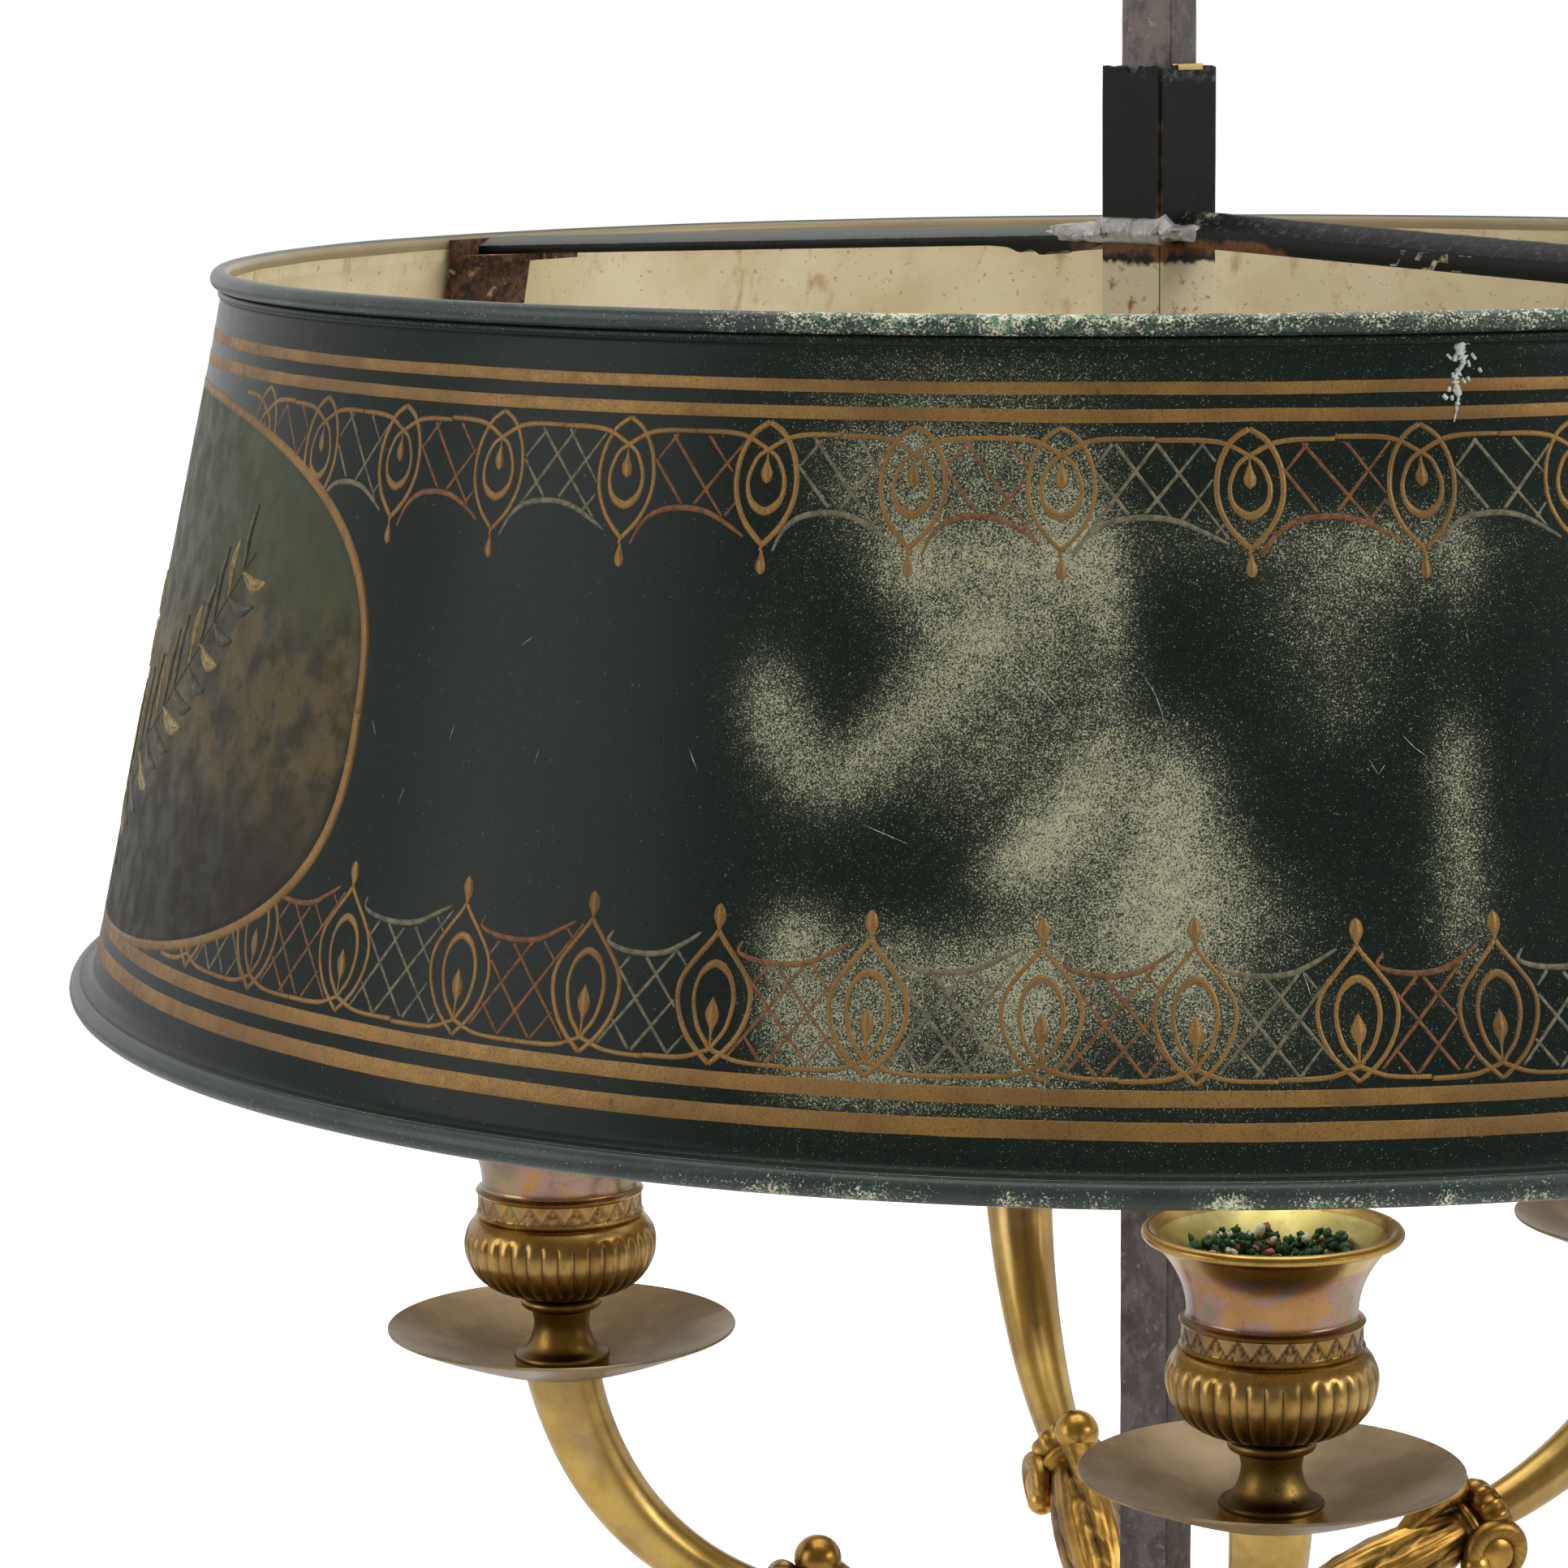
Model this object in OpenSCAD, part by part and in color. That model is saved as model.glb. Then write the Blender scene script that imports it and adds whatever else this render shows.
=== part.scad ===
// Four-light bouillotte lamp: a dished brass foot, a fluted stem, a ball hub with four horn arms that carry
// drip pans and candle cups, and a square iron post on which a painted sheet-iron shade slides.
// Millimetres, +Z up. The origin is the centre of the underside of the foot.

/* [Foot] */
// Outer diameter of the dished foot
foot_d = 250; // [220:5:280]
// Height of the central boss above the tray
boss_h = 16; // [14:1:22]
// Thickness of the foot's brass wall
foot_wall = 2.4; // [2:0.2:3.2]
// Depth of the tray in the top of the foot
tray_depth = 10; // [8:0.5:12]
// Thickness of the baize under the foot
baize_t = 2; // [1:0.5:3]
// Thickness of the iron weight inside the foot
weight_t = 6; // [5:0.5:7]

/* [Stem] */
// Height of the turned socle on the foot
socle_h = 22; // [16:1:30]
// Height of the fluted column
column_h = 144; // [110:2:180]
// Diameter of the fluted column
column_d = 24; // [20:1:30]
// Number of flutes round the column
flutes = 16; // [12:2:20]
// Height of the bell-shaped capital
capital_h = 34; // [26:1:40]
// Diameter of the ball hub that carries the arms
hub_d = 35; // [33:1:40]
// Height of the moulded cap on the hub
cap_h = 11; // [8:1:14]

/* [Post] */
// Side of the square iron post
post_w = 11; // [9:0.5:11.5]
// Length of the square part of the post above the hub
post_h = 430; // [426:2:460]
// Turn of the post's faces from the front arm, in degrees
post_turn = 53; // [48:1:58]
// Diameter of the round tie rod below the square part
rod_d = 8; // [7:0.5:8.5]
// Height of the turned finial
finial_h = 50; // [46:1:60]

/* [Arms] */
// Distance from the post's axis to each candle's axis
arm_reach = 120.4; // [112:0.5:130]
// Height of the drip pans' rims above the hub's centre
pan_rise = 86.3; // [76:0.1:94]
// Upward slope of the left and front leaf sleeves, in degrees
sleeve_slope = 19.5; // [17:0.5:21]
// Length of the leaf sleeves beyond the hub
sleeve_len = 68; // [63:1:71]
// Diameter of a horn arm at its pan
horn_d = 15.3; // [13:0.3:17]
// Diameter of a horn arm at its sleeve
horn_root_d = 9.2; // [8.4:0.2:11]
// Diameter of the ball on top of each sleeve's mouth
ball_d = 9.6; // [8:0.2:10.4]
// Turn of the right arm out of the square cross, in degrees
right_arm_turn = 14; // [0:1:16]
// Turn of the back arm out of the square cross, in degrees
back_arm_turn = 5; // [0:1:10]
// Height of the right arm's pan above the left and front ones
right_arm_lift = 8; // [0:1:10]
// Height of the back arm's pan above the left and front ones
back_arm_lift = 8; // [0:1:10]

/* [Drip pans and candle cups] */
// Diameter of a drip pan
pan_d = 70; // [60:1:76]
// Depth of a drip pan from rim to floor
pan_depth = 8.5; // [5.5:0.5:9]
// Thickness of a drip pan's sheet
pan_t = 1; // [0.8:0.1:1.4]
// Height of a candle cup above the pan's floor
cup_h = 53; // [50:1:58]
// Diameter of a candle cup's flared lip
lip_d = 47; // [42:1:50]
// Diameter of a candle cup's ribbed bowl
bowl_d = 38.4; // [35:0.4:41]
// Diameter of the hole that holds the candle
candle_d = 23; // [20:0.5:24]
// Depth of the straight part of the candle hole
candle_depth = 20; // [16:1:22]
// Diameter of the spigot that a candle cup turns on
spigot_d = 5; // [4:0.5:6]

/* [Shade] */
// Diameter over the shade's top bead
shade_top_d = 370.6; // [350:2:384]
// Diameter over the shade's bottom bead
shade_bottom_d = 432; // [416:2:450]
// Height of the shade over both beads
shade_h = 141.5; // [130:1.5:150]
// Height of the shade's lower edge above the drip pans' rims
shade_gap = 69.7; // [60:0.1:100]
// Thickness of the shade's sheet iron
sheet_t = 0.8; // [0.6:0.1:0.9]
// Diameter of the rolled bead on the top edge
top_bead_d = 3.8; // [3.6:0.1:4.4]
// Diameter of the rolled bead on the bottom edge
bottom_bead_d = 4.8; // [4.4:0.2:6]

/* [Collar and strut] */
// Play between the collar's spring leaf and the post
collar_play = 0.13; // [0.1:0.01:0.2]
// Thickness of the collar's sheet
collar_t = 0.9; // [0.8:0.1:1]
// Length of the collar
collar_h = 66; // [56:1:80]
// Height of the collar above the shade's top edge
collar_rise = 37; // [32:1:44]
// Turn of the collar and the near half of the strut from the front arm, in degrees
strut_turn = 36; // [32:1:40]
// Turn of the strut's far half out of line with the near half, in degrees
strut_bend = 8; // [0:1:8]
// Width of the strut
strut_w = 9; // [8:0.5:11]
// Depth of the strut's near half at its ridge
near_strut_h = 6.8; // [5:0.2:8]
// Depth of the strut's far half at its ridge
far_strut_h = 3.8; // [3.4:0.2:5]
// How much higher the strut stands at the collar than at the shade's wall
strut_rise = 6.6; // [4:0.2:8]
// Thickness of the brass spring leaf in the collar
leaf_t = 0.3; // [0.2:0.05:0.3]

/* [Hidden] */
$fn = 96;

// Clearances: round a part that is only located, and round one that turns on a spigot or thread
seat_gap = 0.3;
turn_gap = 0.05;

// Colours
brass = [0.66, 0.50, 0.23];
bronze = [0.49, 0.43, 0.33];
iron = [0.42, 0.39, 0.38];
lacquer = [0.10, 0.11, 0.10];

// Directions of the arms, in degrees from the front arm, turning towards the right arm
left_turn = -90;
front_turn = 0;
right_turn = 90 + right_arm_turn;
back_turn = 180 + back_arm_turn;

// Heights up the stem
foot_ring_z = baize_t;
nut_well = 0.9;
nut_h = 3.2;
washer_t = 1.2;
weight_z = nut_well + nut_h + washer_t;
tray_z = weight_z + weight_t + seat_gap + foot_wall;
foot_h = tray_z + tray_depth;
boss_top = tray_z + boss_h;
column_z = boss_top + socle_h;
capital_z = column_z + column_h;
hub_flat = hub_d * 0.4;
hub_z = capital_z + capital_h + hub_flat;
hub_top = hub_z + hub_flat;
cap_top = hub_top + cap_h;
post_top = hub_top + post_h;

// Heights of the pans, cups and shade
pan_rim_z = hub_z + pan_rise;
pan_floor_z = pan_rim_z - pan_depth;
pan_under_z = pan_floor_z - pan_t;
shade_bottom = pan_rim_z + shade_gap;
shade_top = shade_bottom + shade_h;

// Foot, weight and tie rod fittings
foot_r = foot_d / 2;
boss_r = column_d / 2 + 16;
tray_r = foot_r - 12;
weight_r = foot_r - 26;
rod_bore_r = rod_d / 2 + seat_gap;
nut_af = rod_d * 1.7;
washer_r = rod_d * 1.3;
nut_well_r = washer_r + 4;
rod_end_z = nut_well + 0.2;

// Shade wall: the centre of each bead stands outside the tapered wall
top_bead_r = top_bead_d / 2;
bottom_bead_r = bottom_bead_d / 2;
bead_top_z = shade_top - top_bead_r;
bead_bottom_z = shade_bottom + bottom_bead_r;
top_bead_at = shade_top_d / 2 - top_bead_r;
bottom_bead_at = shade_bottom_d / 2 - bottom_bead_r;
top_join_turn = 35;
top_join_r = top_bead_r - sheet_t / 2;
flare_out = 1.7;
wall_top_r = top_bead_at - top_join_r * sin(top_join_turn);
wall_bottom_r = bottom_bead_at - flare_out;
wall_slope = (wall_bottom_r - wall_top_r) / (bead_top_z - bead_bottom_z);

// Collar and strut. The collar clears the post's corners, which stand askew in it, and the leaf
skew = abs(post_turn - strut_turn);
collar_inner = post_w * (cos(skew) + sin(skew)) + 2 * (leaf_t + collar_play);
collar_w = collar_inner + 2 * collar_t;
collar_top = shade_top + collar_rise;
collar_bottom = collar_top - collar_h;
strut_z = shade_top - 4.4;
strut_eave = 0.55;
bracket_t = 1.5;
bracket_w = 24;
bracket_drop = 13;
bracket_top = shade_top - 1;
mouth_inner_r = min(wall_r(strut_z) - sheet_t, top_bead_at - top_bead_r);
bracket_face_r = mouth_inner_r - seat_gap - bracket_w * bracket_w / (8 * mouth_inner_r);
strut_end_r = bracket_face_r - bracket_t;
strut_start_r = (collar_w / 2 + strut_w / 2 * sin(strut_bend)) / cos(strut_bend);
far_strut_turn = strut_turn + 180 + strut_bend;
strut_slope = strut_rise / (strut_end_r - strut_start_r);
leaf_w = 7;
leaf_lip = 2.2;
leaf_len = 30;

// Post top and finial
stud_r = 3;
stud_h = 11;
finial_foot_r = 8;

// Spigots and threads
spigot_r = spigot_d / 2;
spigot_h = 11;
root_r = 4;
root_in = 9;

// Radius of the shade's outer wall at a height
function wall_r(z) = wall_bottom_r - (z - bead_bottom_z) * wall_slope;

// Points on an arc, from angle a0 to a1
function arc(cx, cy, r, a0, a1, n = 12) =
    [for (i = [0:n]) let (a = a0 + (a1 - a0) * i / n) [cx + r * cos(a), cy + r * sin(a)]];

// Points of a cubic curve through four control points
function bezier(p, t) =
    pow(1 - t, 3) * p[0] + 3 * t * pow(1 - t, 2) * p[1] + 3 * t * t * (1 - t) * p[2] + pow(t, 3) * p[3];

// Turns a piece that is drawn along +X to an arm's direction, which is counted from -Y towards +X
module toward(turn) {
    rotate([0, 0, turn - 90]) children();
}

// ---------- foot and stem ----------

// Baize disc under the foot, open in the middle for the nut
module base_baize() {
    color("darkgreen")
    difference() {
        cylinder(r = foot_r - 3, h = baize_t);
        translate([0, 0, -1]) cylinder(r = nut_well_r, h = baize_t + 2);
    }
}

// Iron disc that keeps the lamp from tipping
module base_weight() {
    color("dimgray")
    translate([0, 0, weight_z])
    difference() {
        cylinder(r = weight_r, h = weight_t);
        translate([0, 0, -1]) cylinder(r = rod_bore_r, h = weight_t + 2);
    }
}

// Turned brass foot: foot ring, cove, rim roll, tray and solid central boss
module base_dish() {
    roll_r = 3;
    boss_cove = 5;
    outside = concat(
        [[foot_r - 2, foot_ring_z]],
        arc(foot_r - 2, foot_ring_z + 2, 2, -90, 90, 8),
        arc(foot_r - 2, foot_h - roll_r - 5, foot_h - roll_r - 9 - foot_ring_z, -90, -180, 8),
        arc(foot_r - roll_r, foot_h - roll_r, roll_r, -60, 150, 14),
        [[tray_r + 3, foot_h - tray_depth * 0.55]],
        [[tray_r, tray_z + 1], [tray_r - 2, tray_z]],
        arc(boss_r + boss_cove, tray_z + boss_cove, boss_cove, -90, -180, 8),
        [[boss_r, boss_top - 4]],
        arc(boss_r - 2, boss_top - 2, 2, 0, 90, 6),
        [[rod_bore_r, boss_top]]);
    inside = [
        [rod_bore_r, tray_z - foot_wall],
        [tray_r, tray_z - foot_wall],
        [foot_r - 16, tray_z - foot_wall],
        [foot_r - 13, foot_ring_z + 4],
        [foot_r - 6, foot_ring_z]];
    color(brass)
    rotate_extrude() polygon(concat(outside, inside));
}

module base_washer() {
    color("dimgray")
    translate([0, 0, weight_z - washer_t])
    difference() {
        cylinder(r = washer_r, h = washer_t);
        translate([0, 0, -1]) cylinder(r = rod_bore_r, h = washer_t + 2);
    }
}

// Hexagon nut that clamps the whole stem between the foot and the hub
module base_nut() {
    color("dimgray")
    translate([0, 0, weight_z - washer_t - nut_h])
    difference() {
        cylinder(d = nut_af / cos(30), h = nut_h, $fn = 6);
        translate([0, 0, -1]) cylinder(r = rod_d / 2 + turn_gap, h = nut_h + 2);
    }
}

// Turned socle: torus, hollow and fillet
module stem_socle() {
    top_r = column_d / 2 + 3;
    torus_r = 4;
    profile = concat(
        [[rod_bore_r, 0], [boss_r - 4, 0]],
        arc(boss_r - 4 - torus_r * 0.3, torus_r, torus_r, -60, 80, 10),
        arc(top_r + 5, socle_h - 5, socle_h - 2 * torus_r - 6, -90, -180, 8),
        [[top_r, socle_h - 3]],
        arc(top_r - 0.5, socle_h - 1.5, 1.5, -80, 90, 8),
        [[rod_bore_r, socle_h]]);
    color(brass)
    translate([0, 0, boss_top])
    rotate_extrude() polygon(profile);
}

module stem_column() {
    flute_r = PI * column_d / flutes * 0.34;
    color(brass)
    translate([0, 0, column_z])
    linear_extrude(column_h)
    difference() {
        circle(d = column_d);
        circle(r = rod_bore_r);
        for (i = [0:flutes - 1])
            rotate(i * 360 / flutes) translate([column_d / 2 + flute_r * 0.25, 0]) circle(r = flute_r, $fn = 24);
    }
}

// Bell-shaped capital below the hub
module stem_capital() {
    neck_r = column_d / 2 + 1;
    lip_r = neck_r + 5;
    seat_r = sqrt(pow(hub_d / 2, 2) - pow(hub_flat, 2)) + 1.5;
    profile = concat(
        [[rod_bore_r, 0], [neck_r, 0]],
        arc(neck_r, 2, 2, -90, 90, 8),
        arc(lip_r, 5, lip_r - neck_r + 1, -180, -250, 8),
        arc(lip_r - 1, capital_h - 12, 4, -60, 80, 8),
        [[seat_r + 1, capital_h - 6], [seat_r, capital_h - 2]],
        [[seat_r, capital_h], [rod_bore_r, capital_h]]);
    color(brass)
    translate([0, 0, capital_z])
    rotate_extrude() polygon(profile);
}

// Ball hub with a flat seat above and below, the rod's bore, and a sloping socket for each sleeve
module arm_hub() {
    color(brass)
    translate([0, 0, hub_z])
    difference() {
        intersection() {
            sphere(d = hub_d);
            translate([0, 0, -hub_flat]) cylinder(d = hub_d + 2, h = 2 * hub_flat);
        }
        translate([0, 0, -hub_d]) cylinder(r = rod_bore_r, h = 2 * hub_d);
        for (arm = [[left_turn, 0], [front_turn, 0], [right_turn, right_arm_lift], [back_turn, back_arm_lift]])
            toward(arm[0]) rotate([0, 90 - slope(arm[1]), 0])
                translate([0, 0, hub_d / 2 - root_in - seat_gap]) cylinder(r = root_r + seat_gap / 2, h = root_in + 2);
    }
}

// Moulded cap with a square hole for the post
module hub_cap() {
    foot = sqrt(pow(hub_d / 2, 2) - pow(hub_flat, 2)) + 1.5;
    neck = post_w * 0.72 + 1.8;
    profile = concat(
        [[0, 0], [foot, 0], [foot, 1.5]],
        arc(foot, 1.5 + (foot - neck), foot - neck, -90, -180, 8),
        arc(neck, cap_h - 1.6, 1.6, -90, 90, 8),
        [[0, cap_h]]);
    color(brass)
    translate([0, 0, hub_top])
    difference() {
        rotate_extrude() polygon(profile);
        toward(post_turn) translate([-post_w / 2 - seat_gap, -post_w / 2 - seat_gap, -1])
            cube([post_w + 2 * seat_gap, post_w + 2 * seat_gap, cap_h + 2]);
    }
}

// Square iron post, with a round tie rod below and a stud for the finial above
module post() {
    color(iron)
    union() {
        toward(post_turn) translate([-post_w / 2, -post_w / 2, hub_top]) cube([post_w, post_w, post_h]);
        translate([0, 0, rod_end_z]) cylinder(d = rod_d, h = hub_top - rod_end_z + 1);
        translate([0, 0, post_top - 1]) cylinder(r = stud_r, h = stud_h + 1);
    }
}

// Urn finial that screws down on the post's stud
module finial() {
    body_r = finial_foot_r + 3;
    profile = concat(
        [[0, 0], [finial_foot_r, 0], [finial_foot_r, 2]],
        arc(finial_foot_r - 1, 4, 2, -60, 60, 6),
        [[4.4, 8], [4.4, 11]],
        arc(body_r - 7, finial_h * 0.42, 7, -70, 75, 12),
        [[4, finial_h * 0.62]],
        arc(3.4, finial_h * 0.68, 2.4, -80, 80, 8),
        [[2.2, finial_h * 0.76]],
        arc(0, finial_h - 4.5, 4.5, -60, 90, 12));
    color(brass)
    translate([0, 0, post_top + turn_gap])
    difference() {
        rotate_extrude() polygon(profile);
        translate([0, 0, -1]) cylinder(r = stud_r + turn_gap, h = stud_h + 2);
    }
}

// ---------- arms ----------

// A sleeve is turned on a sloping axis through the hub's centre: shoulder ring, leaf-shaped swelling, mouth ring.
// The sleeve of a raised arm slopes more.
slope_per_lift = 0.6;
function slope(lift) = sleeve_slope + slope_per_lift * lift;
sleeve_start = hub_d / 2 + seat_gap;
mouth_wall = 2.4;
mouth_r = horn_root_d / 2 + mouth_wall;
sleeve_end_at = sleeve_start + sleeve_len;
function sleeve_end(lift) = [sleeve_end_at * cos(slope(lift)), hub_z + sleeve_end_at * sin(slope(lift))];

// A ball stands on the mouth ring, and the leaf's edge rolls into a curl with a bead at each side of the mouth
ball_rise = 3.4;
ball_back = 8.7;
curl_r = 5.2;
curl_wire_r = 2.5;
curl_sweep = 270;
curl_drop = 5.4;
curl_back = 7;
curl_bead_d = 6.4;

module sleeve(turn, lift) {
    hollow_r = mouth_r * 0.707;
    swell_r = mouth_r * 1.195;
    ring_r = 2;
    knob_r = 3.2;
    swell_from = 4 * ring_r;
    swell_to = sleeve_len - 2 * knob_r - 2 * ring_r;
    profile = concat(
        [[0, -root_in], [root_r, -root_in], [root_r, 0], [mouth_r - ring_r, 0]],
        arc(mouth_r - ring_r, ring_r, ring_r, -90, 90, 8),
        [[hollow_r, 3 * ring_r]],
        [for (i = [0:10]) [hollow_r + (swell_r - hollow_r) * sin(i * 18), swell_from + (swell_to - swell_from) * i / 10]],
        arc(mouth_r - ring_r / 2, swell_to + ring_r, ring_r / 2, -90, 90, 6),
        arc(mouth_r - knob_r * 0.75, sleeve_len - knob_r, knob_r, -80, 80, 10),
        [[0, sleeve_len]]);
    color(brass)
    toward(turn) translate([0, 0, hub_z]) rotate([0, 90 - slope(lift), 0])
    union() {
        translate([0, 0, sleeve_start]) rotate_extrude() polygon(profile);
        translate([-mouth_r - ball_rise, 0, sleeve_end_at - ball_back]) sphere(d = ball_d);
        for (side = [-1, 1]) translate([curl_drop, side * mouth_r, sleeve_end_at - curl_back]) {
            rotate([90, 0, 0]) rotate_extrude(angle = curl_sweep) translate([curl_r, 0]) circle(r = curl_wire_r);
            translate([0, 0, -curl_r]) sphere(d = curl_bead_d);
        }
    }
}

// Centre line of a horn arm, in the plane of its arm: distance from the axis, and height
horn_lead = 12;
horn_lean = 6.4;
horn_drop = 32.5;
function horn_line(lift) = [
    sleeve_end(lift),
    sleeve_end(lift) + horn_lead * [cos(slope(lift)), sin(slope(lift))],
    [arm_reach - horn_lean, pan_under_z + lift - horn_drop],
    [arm_reach, pan_under_z + lift]];
horn_rings = 22;
horn_sides = 24;

// Direction of the horn at a point, blended to upright at the pan so that its end is level
function horn_angle(line, t) =
    let (d = bezier(line, min(t + 0.01, 1)) - bezier(line, max(t - 0.01, 0)))
    let (a = atan2(d[1], d[0]))
    a + (90 - a) * pow(t, 4);
horn_flare = 1.3;
function horn_r(t) = (horn_root_d + (horn_d - horn_root_d) * pow(t, horn_flare)) / 2;

// Sides of a swept tube: quadrilaterals between rings, and a cap at each end
function tube_faces(rings, sides) = concat(
    [[for (j = [sides - 1:-1:0]) j]],
    [for (i = [0:rings - 2]) for (j = [0:sides - 1]) let (k = (j + 1) % sides)
        [i * sides + k, (i + 1) * sides + k, (i + 1) * sides + j, i * sides + j]],
    [[for (j = [0:sides - 1]) (rings - 1) * sides + j]]);

module horn_arm(turn, lift) {
    line = horn_line(lift);
    points = [for (i = [0:horn_rings - 1])
        let (t = i / (horn_rings - 1))
        let (c = bezier(line, t))
        let (a = i == 0 ? slope(lift) : horn_angle(line, t))
        for (j = [0:horn_sides - 1])
            let (b = j * 360 / horn_sides)
            [c[0] - horn_r(t) * cos(b) * sin(a), horn_r(t) * sin(b), c[1] + horn_r(t) * cos(b) * cos(a)]];
    color(brass)
    toward(turn)
    union() {
        polyhedron(points, tube_faces(horn_rings, horn_sides));
        translate([arm_reach, 0, pan_under_z + lift - 2]) cylinder(r = spigot_r, h = pan_t + spigot_h + 2);
    }
}

// ---------- drip pans and candle cups ----------

// Shallow dish with a flat floor, clamped between the arm and the cup
module drip_pan(turn, lift) {
    pan_r = pan_d / 2;
    floor_r = 9.5;
    steps = 12;
    rise = [for (i = [0:steps]) let (s = i / steps)
        [floor_r + (pan_r - floor_r) * s, pan_depth * pow(s, 1.25)]];
    under = [for (i = [steps:-1:0]) [rise[i][0] - (i == steps ? 0.5 : 0), rise[i][1] - pan_t * (1 - 0.35 * i / steps)]];
    color(bronze)
    toward(turn) translate([arm_reach, 0, pan_floor_z + lift])
    difference() {
        rotate_extrude() polygon(concat([[0, 0]], rise, under, [[0, -pan_t]]));
        translate([0, 0, -pan_t - 1]) cylinder(r = spigot_r + seat_gap, h = pan_t + 2);
    }
}

// Urn-shaped candle cup: foot, stem, bowl, band and flared lip, with the candle's hole
module candle_cup(turn, lift) {
    lip_r = lip_d / 2;
    bowl_r = bowl_d / 2;
    neck_r = candle_d / 2 + 3.9;
    band_r = neck_r + 0.95;
    stem_r = spigot_r + 3;
    foot_r_cup = stem_r + 3.9;
    bowl_z = cup_h * 0.48;
    lip_roll = 1.1;
    flare_z = cup_h - 16;
    outside = concat(
        [[foot_r_cup, 0], [foot_r_cup, 1.4]],
        arc(foot_r_cup - 0.7, 2.1, 0.9, -45, 90, 6),
        [[foot_r_cup - 2.3, 4], [stem_r + 0.4, 6.6], [stem_r, 8.8], [stem_r + 0.5, 11.7]],
        arc(stem_r + 1.4, 13.2, 1.2, -90, 90, 6),
        [[stem_r + 2.2, 14.9]],
        arc(bowl_r - 10, bowl_z, 10, -76, 0, 12),
        arc(bowl_r - 7, bowl_z, 7, 6, 48, 6),
        [[band_r, bowl_z + 5.6], [band_r, flare_z - 0.8], [neck_r + 0.2, flare_z]],
        [for (i = [1:7]) let (s = i / 8) [neck_r + 0.2 + (lip_r - 1.2 - neck_r) * pow(s, 2.2), flare_z + (cup_h - 1.6 - flare_z) * s]],
        arc(lip_r - lip_roll, cup_h - lip_roll, lip_roll, -70, 110, 8));
    hole_top = cup_h - 14;
    mouth = [for (i = [7:-1:0]) let (s = i / 8)
        [candle_d / 2 + (lip_r - 3 - candle_d / 2) * pow(s, 1.7), hole_top + (cup_h - 1.2 - hole_top) * s]];
    color(brass)
    toward(turn) translate([arm_reach, 0, pan_floor_z + lift])
    difference() {
        rotate_extrude() polygon(concat([[0, 0]], outside, mouth, [[0, hole_top]]));
        translate([0, 0, hole_top - candle_depth]) cylinder(d = candle_d, h = candle_depth + 1);
        translate([0, 0, -1]) cylinder(r = spigot_r + turn_gap, h = spigot_h + 1.5);
    }
}

// ---------- shade ----------

// Rolled edge: a C-shaped tube of sheet that joins the wall and stops short of closing
module rolled_edge(at, z, r, a0, a1) {
    rotate_extrude() polygon(concat(arc(at, z, r, a0, a1, 28), arc(at, z, r - sheet_t, a1, a0, 28)));
}

// Tapered sheet-iron wall, with a swaged ridge under the top edge's roll and a flare over the bottom edge's
module shade_shell() {
    ridge_in = 4.7;
    ridge_out = 0.7;
    ridge_half = 0.9;
    ridge_z = shade_top - ridge_in;
    flare_mid = 3.4;
    flare_h = 5;
    roll_turn = 10;
    roll_mid = bottom_bead_r - sheet_t / 2;
    outer = concat(
        [[bottom_bead_at - roll_mid * sin(roll_turn), bead_bottom_z + roll_mid * cos(roll_turn)],
            [wall_r(bead_bottom_z + flare_mid) + flare_out * 0.25, bead_bottom_z + flare_mid],
            [wall_r(bead_bottom_z + flare_h), bead_bottom_z + flare_h]],
        [for (a = [-90:30:90]) [wall_r(ridge_z) + ridge_out * cos(a), ridge_z + ridge_half * sin(a)]],
        [[wall_top_r, bead_top_z - top_join_r * cos(top_join_turn)]]);
    inner = [for (i = [len(outer) - 1:-1:0]) outer[i] - [sheet_t, 0]];
    color(lacquer)
    union() {
        rotate_extrude() polygon(concat(outer, inner));
        rolled_edge(top_bead_at, bead_top_z, top_bead_r, -140, 200);
        rolled_edge(bottom_bead_at, bead_bottom_z, bottom_bead_r, 85, 425);
    }
}

// Iron wires inside the rolled edges
module rim_wire(at, z, r) {
    color(iron)
    translate([0, 0, z])
    rotate_extrude() translate([at, 0]) circle(r = r - sheet_t - seat_gap);
}
module rim_wire_top() { rim_wire(top_bead_at, bead_top_z, top_bead_r); }
module rim_wire_bottom() { rim_wire(bottom_bead_at, bead_bottom_z, bottom_bead_r); }

// Bar of one section that falls towards the shade's wall at the strut's slope, with upright ends
module sloping_bar(section, r0, r1) {
    n = len(section);
    points = [for (r = [r0, r1]) for (p = section) [r, p[0], strut_z + strut_slope * (strut_end_r - r) + p[1]]];
    polyhedron(points, concat([[for (i = [0:n - 1]) i]], [[for (i = [n - 1:-1:0]) n + i]],
        [for (i = [0:n - 1]) let (j = (i + 1) % n) [i, n + i, n + j, j]]));
}

// Half of the strut: a bar with a roof-shaped top, from the collar down to the shade's wall
module strut_half(turn, h, from_r) {
    eave = strut_eave * h;
    color(lacquer)
    toward(turn)
    sloping_bar([[-strut_w / 2, 0], [strut_w / 2, 0], [strut_w / 2, eave], [0, h], [-strut_w / 2, eave]],
        from_r, strut_end_r);
}
module strut_near() { strut_half(strut_turn, near_strut_h, collar_w / 2); }
module strut_far() { strut_half(far_strut_turn, far_strut_h, strut_start_r); }

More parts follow.
